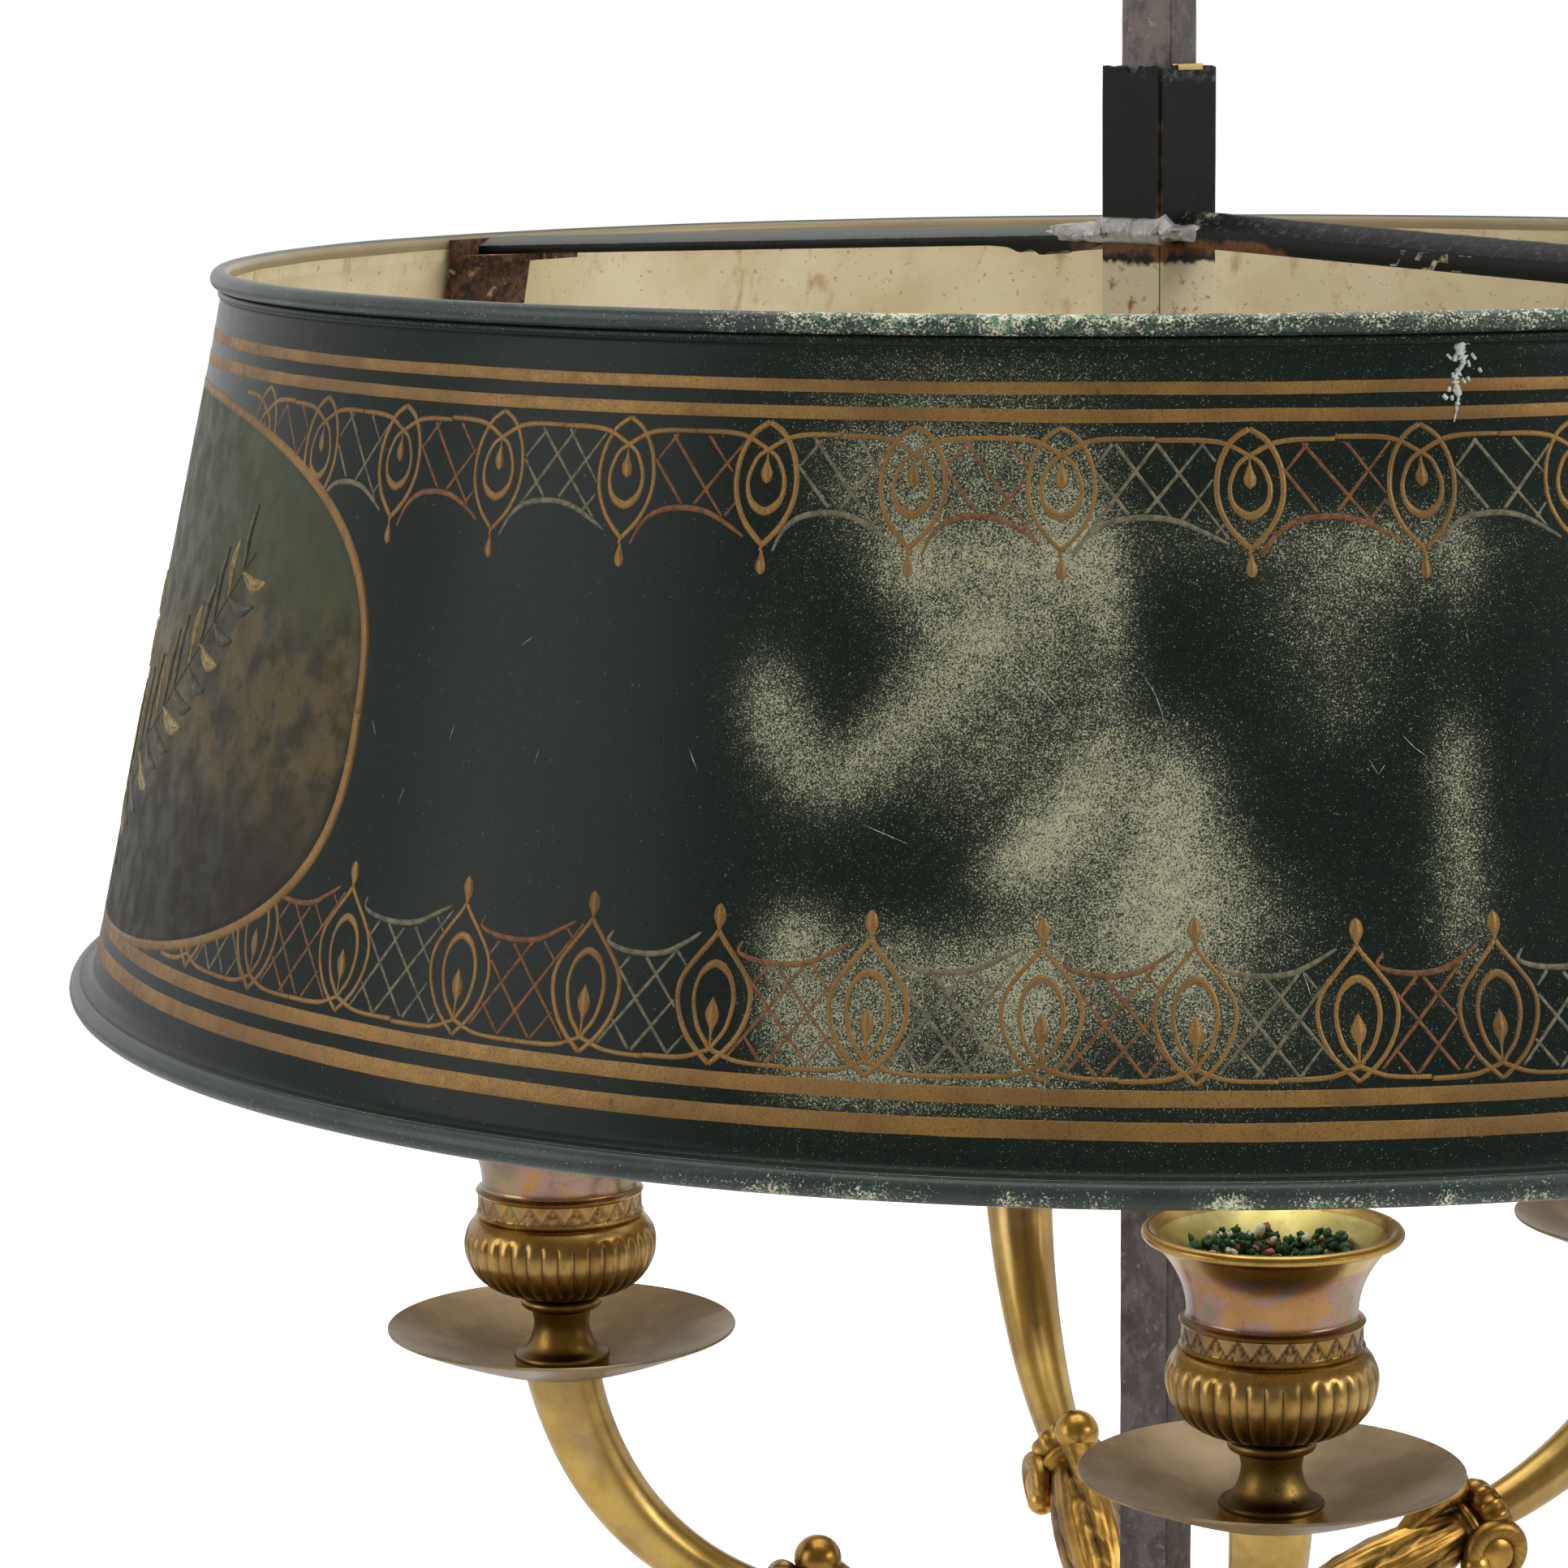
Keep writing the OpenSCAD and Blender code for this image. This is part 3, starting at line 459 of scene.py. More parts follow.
def curve(points, step=0.9):
    """Smooth open curve through points, resampled evenly."""
    p = np.array(points, float)
    if len(p) == 2:
        n = max(2, int(np.linalg.norm(p[1] - p[0]) / step) + 1)
        return [tuple(p[0] + (p[1] - p[0]) * t) for t in np.linspace(0, 1, n)]
    q = np.vstack([2 * p[0] - p[1], p, 2 * p[-1] - p[-2]])
    out = []
    for before, here, there, after in zip(q, q[1:], q[2:], q[3:]):
        n = max(2, int(np.linalg.norm(there - here) / step) + 1)
        b, c = there - before, 2 * before - 5 * here + 4 * there - after
        d = -before + 3 * here - 3 * there + after
        out += [tuple(0.5 * (2 * here + b * t + c * t * t + d * t ** 3)) for t in np.linspace(0, 1, n, endpoint=False)]
    return out + [tuple(p[-1])]


# ---------------------------------------------------------------- shade: surface and wear
WALL_Z0, WALL_R0, WALL_SLOPE, SHEET = 402.4, 211.9, 0.2140, 0.8
# Dents: degrees round, height, size and depth in mm
DENTS = [(-21, 462, 16, 0.35), (12, 480, 22, 0.30), (-38, 440, 14, 0.25), (-3, 508, 18, 0.22), (40, 455, 20, 0.35),
         (150, 470, 24, 0.4), (205, 440, 18, 0.3), (-140, 500, 16, 0.25), (88, 430, 20, 0.3)]
# Worn places: degrees round, height, half-length and half-width in mm, tilt, strength
WORN = [(-18.2, 501.5, 13, 4.5, 0, .56), (-22.1, 501, 4.5, 5.5, 0, .44), (-13.4, 502, 6, 5, 90, .35),
        (-19.0, 490.5, 7, 4.5, 0, .52), (-20.4, 481.5, 9, 5, 50, .35), (-23.1, 472.3, 9, 4.5, 48, .42),
        (-25.5, 466.5, 7, 4, 10, .24), (-29.0, 478, 6.5, 5, 100, .50), (-27.5, 470.5, 6.5, 4.5, 130, .33),
        (-12.3, 494.5, 6.5, 2.8, 95, .36), (-11.9, 483.5, 7, 3.6, 80, .11), (-12.5, 473, 6, 3.5, 80, .14),
        (-15.2, 492.5, 6, 6, 0, .25), (-14.0, 484.5, 7, 6, 0, .13), (-16.8, 480, 10, 9, 0, .23),
        (-17.6, 470, 9, 8, 0, .24), (-20.2, 465.5, 6, 4, 0, .10), (-13.4, 465.5, 7.5, 4.4, 60, .45),
        (-9.1, 466.5, 6, 4.8, 90, .46), (-10.9, 468, 4, 8, 0, .10), (-14.6, 459, 7.5, 4.4, 40, .45),
        (-16.4, 454.5, 5, 3.2, 30, .42), (-9.2, 457, 8.5, 5.5, 90, .48), (-9.4, 446.5, 8, 6.5, 90, .42),
        (-11.9, 449.5, 12, 8, 0, .34), (-6.4, 450, 9, 5, 110, .14), (-26.9, 440.5, 4.6, 4.4, 0, .60),
        (-25.7, 427, 8, 5, 90, .60), (-27.7, 428.5, 5, 3, 90, .30), (-22.6, 429.5, 9, 5, 90, .38),
        (-18.9, 436.5, 9, 4.5, 0, .36), (-18.6, 427.5, 9, 5.5, 0, .24), (-16.6, 432, 8, 4, 90, .30),
        (-15.1, 432, 9.5, 5, 90, .42), (-11.9, 430.5, 6.5, 8, 90, .20), (-10.7, 440, 6, 4, 0, .36),
        (-8.1, 430.5, 9, 6, 90, .34), (-4.6, 429, 10, 9, 0, .16), (-23.0, 419, 9, 2.2, 0, .35),
        (-17.5, 419, 12, 2, 0, .25), (-20.5, 414.6, 14, 1.6, 0, .18), (-19.0, 532.5, 26, 2.2, 0, .22),
        (-20.5, 527.3, 22, 1.5, 0, .30), (-25.2, 514, 6, 6.5, 0, .34), (-22.2, 515, 8, 5, 90, .30),
        (-18.5, 514, 8, 7, 0, .34), (-14.4, 511.5, 7, 6, 90, .42), (-20, 520.5, 22, 2.5, 0, .22),
        (-1.6, 492, 9, 7, 0, .27), (-1.2, 478.5, 7, 6, 0, .16), (4.4, 470, 6, 3.4, 88, .26),
        (4.2, 456.5, 12, 3.6, 90, .40), (5.0, 502, 8, 3, 90, .26), (4.0, 442, 7, 4, 90, .18),
        (-6.6, 455, 11, 4, 90, .05), (-5.1, 446, 8, 5, 0, .14), (0.8, 500, 13, 5, 0, .20), (-4, 505.5, 22, 3.5, 0, .20),
        (1.5, 505, 12, 4.5, 0, .18), (-21, 440, 12, 3, 0, .14),
        (70, 470, 18, 6, 40, .40), (64, 430, 9, 5, 0, .45), (131, 452, 16, 8, 20, .45), (158, 497, 12, 6, -30, .5),
        (171, 438, 18, 6, 0, .45), (196, 482, 9, 14, 0, .35), (219, 455, 14, 5, 60, .5), (247, 512, 12, 4, 0, .35),
        (36, 506, 10, 4, 10, .35), (30, 436, 12, 5, 0, .35)]


def wall_r(z):
    return WALL_R0 - (np.asarray(z, float) - WALL_Z0) * WALL_SLOPE


def apart(theta, centre):
    """Degrees from centre to theta, -180 to 180."""
    return (np.asarray(theta, float) - centre + 180) % 360 - 180


def span(x):
    """Degrees round the shade of a length in millimetres."""
    return degrees(x / UNROLL)


def wear_at(theta, z):
    """How rubbed the paint is, 0 to 1."""
    theta, z = np.asarray(theta, float), np.asarray(z, float)
    base = 0.03 + 0.09 * smooth(apart(theta, 15), -50, -42) * (1 - smooth(apart(theta, 15), 60, 90)) + 0 * z
    total = 0 * base
    for t0, z0, long_, wide, tilt, strength in WORN:
        u, v = np.radians(apart(theta, t0)) * UNROLL, z - z0
        c, s = cos(radians(tilt)), sin(radians(tilt))
        a, b = (u * c + v * s) / long_, (-u * s + v * c) / wide
        total = total + strength * np.exp(-0.62 * (a * a + b * b) ** 0.88)
    return base + 0.60 * (1 - np.exp(-total / 0.60))


def wall_dev(theta, z):
    """Slow unevenness of the hand-made sheet, never outside the true cone."""
    theta, z = np.asarray(theta, float), np.asarray(z, float)
    a = np.radians(theta)
    dev = 0.10 * np.sin(3 * a + 0.4) + 0.06 * np.sin(7 * a + z / 37) + 0.05 * np.sin(11 * a - z / 23 + 1.3) - 0.21
    for t0, z0, size, deep in DENTS:
        u = np.radians(apart(theta, t0)) * UNROLL
        dev = dev - deep * np.exp(-(u * u + (z - z0) ** 2) / size ** 2)
    return dev * np.minimum(smooth(z, 405, 418), 1 - smooth(z, 526, 536))


def around(theta, r, z):
    a = np.radians(theta)
    return np.stack([r * np.sin(a), -r * np.cos(a), np.broadcast_to(z, np.shape(a))], -1)


def on_wall(theta, z, lift=0.0):
    return around(theta, wall_r(z) + wall_dev(theta, z) + lift, z)


def build_wall():
    n = 900
    theta = np.arange(n) * 360.0 / n
    rows = [(213.9, 404.75), (212.75, 404.85), (211.95, 405.25), (211.3, 405.95), (210.95, 406.8)]
    rows += [(wall_r(z), z) for z in np.linspace(407.8, 535.4, 58)]
    rows += [(wall_r(536.8) + 0.7 * cos(radians(a)), 536.8 + 0.9 * sin(radians(a))) for a in range(-90, 91, 22)]
    rows += [(wall_r(z), z) for z in (538.2, 539.2)]
    thicker = {0: 0.7, 1: 0.55, 2: 0.3}
    inner = [(r - SHEET, z - thicker.get(i, 0)) for i, (r, z) in enumerate(rows) if not 536 < z < 538]
    verts, wear = [], []
    for i, (r, z) in enumerate(rows + inner[::-1]):
        verts.append(around(theta, r + wall_dev(theta, z), z))
        # painted highlight: a pale line along the ridge crest all round, kept in the same attribute as the rubbed paint
        painted_crest_highlight = 0.25 * exp(-((z - 537.0) / 0.4) ** 2)
        wear.append(np.maximum(wear_at(theta, z), painted_crest_highlight) if i < len(rows) else np.zeros(n))
    inside = np.arange(len(verts)) >= len(rows) - 1
    piece("shade_wall", np.concatenate(verts), skin([n] * len(verts), True), [LACQUER, CREAM], "shade",
          "black_lacquer", ["shade_shell"], index=np.repeat(inside, n), attrs={"wear": np.concatenate(wear)})


def build_roll(name, at, z, r, rub):
    """Rolled edge: a tube round the shade, slightly uneven, rubbed where rub(degrees round, angle of the roll) says."""
    n, sides, shy, uneven = 720, 18, 0.06, 0.05
    verts, wear, inner = [], [], []
    for th in np.arange(n) * 360.0 / n:
        a = radians(th)
        roll = r - shy + uneven * ring_wob(a, 9, z)
        for b in turns(sides):
            rr = at + roll * cos(b)
            verts.append((rr * sin(a), -rr * cos(a), z + roll * sin(b)))
            wear.append(rub(th, b))
            inner.append(ease(-cos(b), 0.45, 0.8))
    faces = [(a, d, c, b) for a, b, c, d in skin([sides] * n, True)]
    piece(name, verts, faces, EDGE, "shade", "black_lacquer", attrs={"wear": wear, "inner": inner})


def front_side(th):
    """1 on the shade's rubbed front, 0 at its left and back."""
    return ease(apart(th, -20), -14, -4) * (1 - ease(apart(th, -20), 80, 110))


def rub_top(th, roll):
    here = exp(-(apart(th, -20) / 14) ** 2) + 0.5 * exp(-(apart(th, 6) / 4) ** 2)
    patchy = 0.5 + 0.9 * ring_wob(radians(th), 22, 3)
    rub = 0.08 + (0.18 + 0.12 * sin(roll)) * front_side(th) + (0.38 * here + 0.10) * patchy
    return max(0.0, min(0.8, rub))


def rub_bottom(th, roll):
    low = max(0.0, cos(roll + radians(35)))
    patchy = 0.5 + ring_wob(radians(th), 30, 8)
    rub = 0.08 + (0.25 + 0.75 * front_side(th)) * (0.04 + 0.46 * low ** 3 * patchy + 0.10 * patchy)
    return max(0.0, min(0.8, rub))


# ---------------------------------------------------------------- shade: painted lines
class Lines:
    """Painted lines on the shade: low ridges with closed sides, collected into one mesh."""

    def __init__(self):
        self.verts, self.faces = [], []

    def take(self, *edges):
        """Adds the points of lines that run side by side. Returns the number of the first."""
        start = len(self.verts)
        self.verts += [tuple(p) for row in zip(*edges) for p in row]
        return start

    def add(self, path, width, rise=0.07, base=-0.03):
        """path: (degrees round, height) points. width: one number, or one for each point."""
        th, z = np.array(path, float).T
        w = np.broadcast_to(np.asarray(width, float), th.shape)
        du, dz = np.gradient(np.radians(th) * wall_r(z)), np.gradient(z)
        size = np.hypot(du, dz)
        size[size == 0] = 1
        dt, dz = np.degrees(-dz / size * w / 2 / wall_r(z)), du / size * w / 2
        start = self.take(on_wall(th + dt, z + dz, base), on_wall(th, z, rise), on_wall(th - dt, z - dz, base))
        end = start + 3 * (len(path) - 1)
        for s in range(start, end, 3):
            self.faces += [(s, s + 1, s + 4, s + 3), (s + 1, s + 2, s + 5, s + 4), (s + 2, s, s + 3, s + 5)]
        self.faces += [(start, start + 2, start + 1), (end, end + 1, end + 2)]

    def ring(self, z, width, jitter=0.18):
        """A painted band all the way round."""
        th = np.arange(0, 720) * 0.5
        zz = z + jitter * np.array([ring_wob(radians(t), 6, z) for t in th])
        w = width * (1 + 0.05 * np.array([wob(t / 2.3, z, 1) for t in th]))
        start = self.take(*(on_wall(th, zz + k * w, lift) for k, lift in
                            ((0.5, -0.03), (0.42, 0.05), (-0.42, 0.05), (-0.5, -0.03))))
        for i in range(len(th)):
            s, e = start + 4 * i, start + 4 * ((i + 1) % len(th))
            self.faces += [(s + k, s + (k + 1) % 4, e + (k + 1) % 4, e + k) for k in range(4)]

    def make(self, name, material):
        v = np.array(self.verts)
        th = np.degrees(np.arctan2(v[:, 0], -v[:, 1]))
        piece(name, v, self.faces, material, "shade", "black_lacquer", attrs={"wear": wear_at(th, v[:, 2])})


GILT_LINES, RUST_LINES, GREY_LINES, DARK_LEAVES, LIGHT_LEAVES, SCRATCHES, FILLER = (Lines() for _ in range(7))
FRONT_TOP = [-69.6, -62, -54.3, -46.5, -38.1, -30.0, -22.2, -14.7, -5.4, 3.2, 11.3, 19.6, 27.8, 36.0, 44.3, 52.5,
             60.7, 68.6]
FRONT_BOTTOM = [-67.5, -60.5, -53.0, -44.9, -37.4, -30.6, -23.1, -15.1, -8.2, -0.9, 5.6, 12.9, 20.2, 27.6, 34.9,
                42.3, 49.6, 56.9, 64.2]
# Motifs of the two borders: millimetres beside the axis, and height. loop and ring are halves of mirrored shapes
TOP = dict(
    radius=187.0, sign=1, peak=521.35, heavy=508.9, stem=[(0, 503.8), (-0.3, 502.6)],
    scallop=((2.0, 502.5), 508.9, (3.4, 504.6)), arch=[(1.4, 519.5), (2.9, 520.3), (4.8, 520.95), (8.0, 521.3)],
    loop=[(0, 523.1), (1.9, 522.0), (3.3, 520.6), (4.8, 517.6), (5.4, 514.0), (5.0, 510.6), (3.4, 507.2),
          (1.3, 504.8), (0, 503.6)],
    ring=[(0, 518.7), (1.9, 517.3), (3.25, 513.8), (2.6, 510.6), (0, 508.9)],
    drop=[(0.2, 518.2), (0.3, 517.3), (0.75, 516.2), (1.2, 515.4), (1.3, 514.8), (1.0, 513.9), (0, 513.3)],
    pendant=[(0.2, 502.8), (0.55, 501.8), (1.0, 500.8), (1.12, 500.1), (0.85, 499.3), (0, 498.9)])
BOTTOM = dict(
    radius=206.0, sign=-1, peak=419.9, heavy=435.8, stem=[(0, 441.4), (0.1, 440.8)],
    scallop=((4.5, 439.6), 436.3, (3.2, 440.5)), arch=[(1.4, 421.3), (3.0, 420.7), (4.9, 420.2), (8.0, 419.95)],
    loop=[(0, 441.0), (1.3, 439.3), (3.6, 436.6), (5.8, 433.6), (6.6, 430.8), (6.2, 427.6), (4.9, 424.6),
          (3.1, 422.2), (0, 419.4)],
    ring=[(0, 421.9), (0.8, 422.9), (2.6, 425.5), (3.6, 430.0), (2.6, 433.9), (0, 435.8)],
    drop=[(0, 430.4), (0.7, 429.4), (1.3, 428.4), (1.6, 427.6), (1.3, 426.4), (0.5, 425.2), (0.3, 423.6),
          (0.3, 422.2)],
    pendant=[(0, 445.6), (0.9, 445.0), (1.35, 443.9), (1.3, 442.9), (0.6, 441.8), (0.3, 441.0)])
MEDALLION_HALF, MEDALLION_Z, MEDALLION_UP, MEDALLION_DOWN, SQUARENESS = 35.8, 470.0, 51.5, 54.0, 2.7


def in_medallion(theta, z, grow_by):
    for centre in (-90, 90):
        d = abs(apart(theta, centre)) / (MEDALLION_HALF + span(grow_by))
        v = (z - MEDALLION_Z) / ((MEDALLION_UP if z > MEDALLION_Z else MEDALLION_DOWN) + grow_by)
        if d ** SQUARENESS + abs(v) ** SQUARENESS < 1:
            return True
    return False


def clipped(lines, path, width, rise=0.07):
    """Adds the runs of a path that lie outside the medallions."""
    run = []
    for p, w in [*zip(path, np.broadcast_to(width, (len(path),))), (None, 0)]:
        if p and not in_medallion(*p, -1.5):
            run.append((p, w))
            continue
        if len(run) > 2:
            lines.add([q for q, _ in run], [w for _, w in run], rise)
        run = []


def border(axes, radius, sign, peak, heavy, stem, scallop, arch, loop, ring, drop, pendant):
    """One row of the traditional looped border. Each motif hangs on its axis; panels between are latticed."""
    per = degrees(1 / radius)
    gaps = np.diff(axes) / per
    mid = (loop[0][1] + loop[-1][1]) / 2
    for i, axis in enumerate(axes):
        sway = rng.uniform(-0.35, 0.35)
        tall = 1 + rng.uniform(-0.025, 0.025)
        left, right = gaps[max(i - 1, 0)] / 2, gaps[min(i, len(gaps) - 1)] / 2

        def place(points, flip=1):
            return [(axis + (flip * s + sway * (z - mid) / 20) * per, mid + (z - mid) * tall) for s, z in points]

        path = curve(loop)
        for flip in (1, -1):
            w = 1.2 + 0.18 * sin(axis) + np.array([0.12 * wob(s, z, axis + flip) for s, z in path])
            clipped(GILT_LINES, place(path, flip), w)
        path = curve([(-left, peak)] + mirror(arch) + ring + mirror(ring[:-1]) + arch + [(right, peak)])
        w = [1.12 + 0.1 * sin(k / 4) + (0.75 * exp(-((z - heavy) / 1.7) ** 2) if abs(s) < 3.4 else 0)
             for k, (s, z) in enumerate(path)]
        clipped(GILT_LINES, place(path), w)
        for shape in (drop, pendant):
            path = curve(shape, 0.5)
            clipped(GILT_LINES, place([(0, z) for _, z in path]), [max(0.12, 2 * s) for s, _ in path], 0.12)
        clipped(GILT_LINES, place(curve(stem, 0.4)), 0.8)
        if i == len(gaps):
            continue
        width = gaps[i]
        (s0, z0), zm, (s1, z1) = scallop
        low = curve([(s0, z0), (width * 0.145, z0 + (zm - z0) * 0.53), (width * 0.26, z0 + (zm - z0) * 0.88),
                     (width * 0.44, zm), (width * 0.61, z1 + (zm - z1) * 0.86), (width * 0.76, z1 + (zm - z1) * 0.42),
                     (width - s1, z1)])
        taper = 0.25 + 0.75 * np.sin(np.linspace(0.1, pi - 0.1, len(low))) ** 0.6
        colour = RUST_LINES if (i % 2 == 0) == (sign > 0) else GREY_LINES
        clipped(colour, [(axis + s * per, z) for s, z in low], 1.4 * taper)
        lattice(colour, axis, per, width, loop, low, arch + [(width / 2, peak)], sign)


def lattice(colour, axis, per, width, loop, low, arch, sign):
    """Slanting lines both ways between two loops, the scallop and the arch."""
    loop_s, loop_z = np.array(sorted(loop, key=lambda p: p[1])).T
    low_s, low_z = np.array(low).T
    arch_s, arch_z = np.array(arch).T

    def inside(u, z):
        half = np.interp(z, loop_z, loop_s) + 0.4
        if not half < u < width - half:
            return False
        edges = np.interp(u, low_s, low_z) + sign * 0.3, np.interp(min(u, width - u), arch_s, arch_z) - sign * 0.3
        return edges[0] < z < edges[1] if sign > 0 else edges[1] < z < edges[0]

    for slope in (1, -1):
        for k in range(-2, 8):
            start = k * 6.8 + (2.2 if slope > 0 else 0.0) + rng.uniform(-0.4, 0.4)
            tilt = tan(radians(51 + rng.uniform(-2, 2))) * slope
            run = []
            for u in np.arange(-4, width + 4, 0.45):
                z = (loop_z[0] if slope > 0 else loop_z[-1]) + tilt * (u - start)
                if inside(u, z):
                    run.append((axis + u * per, z))
                elif run:
                    break
            if len(run) > 3:
                clipped(colour, run, 0.78 + 0.18 * np.sin(np.linspace(0, 3, len(run)) + k), 0.05)


def build_borders():
    for motif, front, (first, pitch, count) in ((TOP, FRONT_TOP, (110.3, 8.2, 18)),
                                                (BOTTOM, FRONT_BOTTOM, (112.2, 7.33, 20))):
        back = [first + pitch * i + rng.uniform(-0.5, 0.5) for i in range(count)]
        for axes in (front, back):
            border(axes, **motif)
    for z, w in ((529.4, 2.2), (525.05, 2.3), (417.1, 2.9), (411.9, 3.2)):
        GILT_LINES.ring(z, w)


def medallion_edge(centre, t, inset):
    c, s = cos(t), sin(t)
    tall = (MEDALLION_UP if s > 0 else MEDALLION_DOWN) - inset
    e = 2 / SQUARENESS
    return (centre + (MEDALLION_HALF - span(inset)) * copysign(abs(c) ** e, c),
            MEDALLION_Z + tall * copysign(abs(s) ** e, s))


def beside(centre, points):
    """Points in millimetres beside a medallion's middle, as places on the shade."""
    return [(centre + span(x), z) for x, z in points]


def build_medallion(name, centre):
    """Gilt ring round a clouded ground with two crossed leafy sprigs."""
    n, rows, front, back, flower_z = 220, 30, 0.045, -0.25, 474
    middle = np.array([centre, MEDALLION_Z])
    edge = np.array([medallion_edge(centre, t, 1.2) for t in turns(n)])
    verts = []
    for lift, steps in ((front, range(rows + 1)), (back, range(rows, -1, -1))):
        for i in steps:
            th, z = (middle + (edge[:n if i else 1] - middle) * (i / rows)).T
            verts.append(on_wall(th, z, lift))
    piece(name, np.concatenate(verts), skin([len(row) for row in verts]), GROUND, "shade", "black_lacquer")
    path = [medallion_edge(centre, t, 1.6) for t in turns(720)]
    path.append(path[0])
    side = np.array([abs(th - centre) / MEDALLION_HALF for th, _ in path])
    GILT_LINES.add(path, 2.7 + 0.8 * side ** 6, 0.12)
    for way in (1, -1):
        sprig(centre, way)
    for a in turns(9):
        petal = beside(centre, curve([(r * cos(a), flower_z + r * sin(a)) for r in (2.0, 9.5)]))
        LIGHT_LEAVES.add(petal, 0.4 + 4.6 * np.sin(np.linspace(0.15, pi - 0.1, len(petal))) ** 1.3, 0.26, 0.0)
        DARK_LEAVES.add(petal[1:-2], 0.35, 0.34, 0.0)


def sprig(centre, way):
    """A curved stem with paired leaves, from the foot of the medallion up and out."""
    stem = curve([(way * -14, 428), (way * -2, 440), (way * 22, 452), (way * 50, 470), (way * 78, 494)], 1.5)
    DARK_LEAVES.add(beside(centre, stem), np.linspace(1.6, 0.7, len(stem)), 0.2, 0.0)
    for k in range(13):
        x, z = stem[int((0.16 + 0.80 * k / 12) * (len(stem) - 1))]
        for side in (1, -1):
            long_ = 19 - 7.5 * k / 12 + rng.uniform(-1.5, 1.5)
            lean = radians((34 if way > 0 else 146) + side * (52 - k) + rng.uniform(-6, 6))
            c, s, bow = cos(lean), sin(lean), side * way * 1.4
            bend = (x + long_ * 0.5 * c - bow * s, z + long_ * 0.5 * s + bow * c)
            leaf = beside(centre, curve([(x, z), bend, (x + long_ * c, z + long_ * s)], 1.2))
            w = 0.3 + (4.4 - k * 0.12) * np.sin(np.linspace(0.05, pi - 0.02, len(leaf))) ** 0.9
            blade, vein = DARK_LEAVES, LIGHT_LEAVES
            if (k + (side > 0)) % 3 == 0:
                blade, vein = vein, blade
            blade.add(leaf, w, 0.24, 0.0)
            vein.add(leaf[1:-2], 0.3, 0.32, 0.0)


def build_scratches():
    marked = [((-10.7, 484.3), (-10.0, 480.5), (-9.5, 475.3)), ((1.7, 473.8), (2.2, 472.0), (2.7, 470.7)),
              ((-3.4, 437.6), (-3.0, 433.1)), ((-17.1, 486.2), (-15.2, 480.5), (-13.7, 474.2)),
              ((-23.8, 459.2), (-21.6, 456.4)), ((-33, 470), (-32.4, 466.2)), ((-14.5, 529.3), (-13.8, 531.6))]
    for marks in marked:
        path = curve(marks, 0.6)
        SCRATCHES.add(path, 0.20 * np.sin(np.linspace(0.3, pi - 0.3, len(path))), 0.04)
    for _ in range(150):
        th, z, tilt, size = rng.uniform(-180, 180), rng.uniform(424, 520), rng.uniform(-80, 80), rng.uniform(0.9, 3.2)
        path = curve([(th, z), (th + span(size * cos(radians(tilt))), z + size * sin(radians(tilt)))], 0.7)
        if len(path) > 2 and not in_medallion(th, z, -4):
            SCRATCHES.add(path, 0.13, 0.03)
    crack = curve([(5.9, 537.5), (5.5, 535.2), (5.65, 533.0), (5.2, 530.6), (5.3, 527.5), (5.0, 523.5)], 0.4)
    w = [1.0 + 2.6 * abs(wob(k * 0.45, 2, 5)) - 0.9 * k / len(crack) for k in range(len(crack))]
    FILLER.add(crack, np.maximum(w, 0.3), 0.45)
    for _ in range(26):
        th, z = 5.5 + rng.gauss(0, 0.55), rng.uniform(527, 538)
        path = curve([(th, z), (th + rng.uniform(-0.25, 0.25), z + rng.uniform(-1.2, 1.2))], 0.3)
        if len(path) > 2:
            FILLER.add(path, rng.uniform(0.3, 0.9), 0.25)


build_wall()
build_roll("shade_top_roll", 183.4, 539.6, 1.9, rub_top)
build_roll("shade_bottom_roll", 213.6, 402.4, 2.4, rub_bottom)
build_borders()
build_medallion("medallion_left", -90)
build_medallion("medallion_right", 90)
build_scratches()
GILT_LINES.make("shade_gilding", GILT)
RUST_LINES.make("shade_rust_lattice", RUST_LINE)
GREY_LINES.make("shade_grey_lattice", GREY_LINE)
DARK_LEAVES.make("medallion_dark_leaves", LEAF_DARK)
LIGHT_LEAVES.make("medallion_light_leaves", LEAF_LIGHT)
SCRATCHES.make("shade_scratches", SCRATCH)
FILLER.make("shade_filler", PASTE)


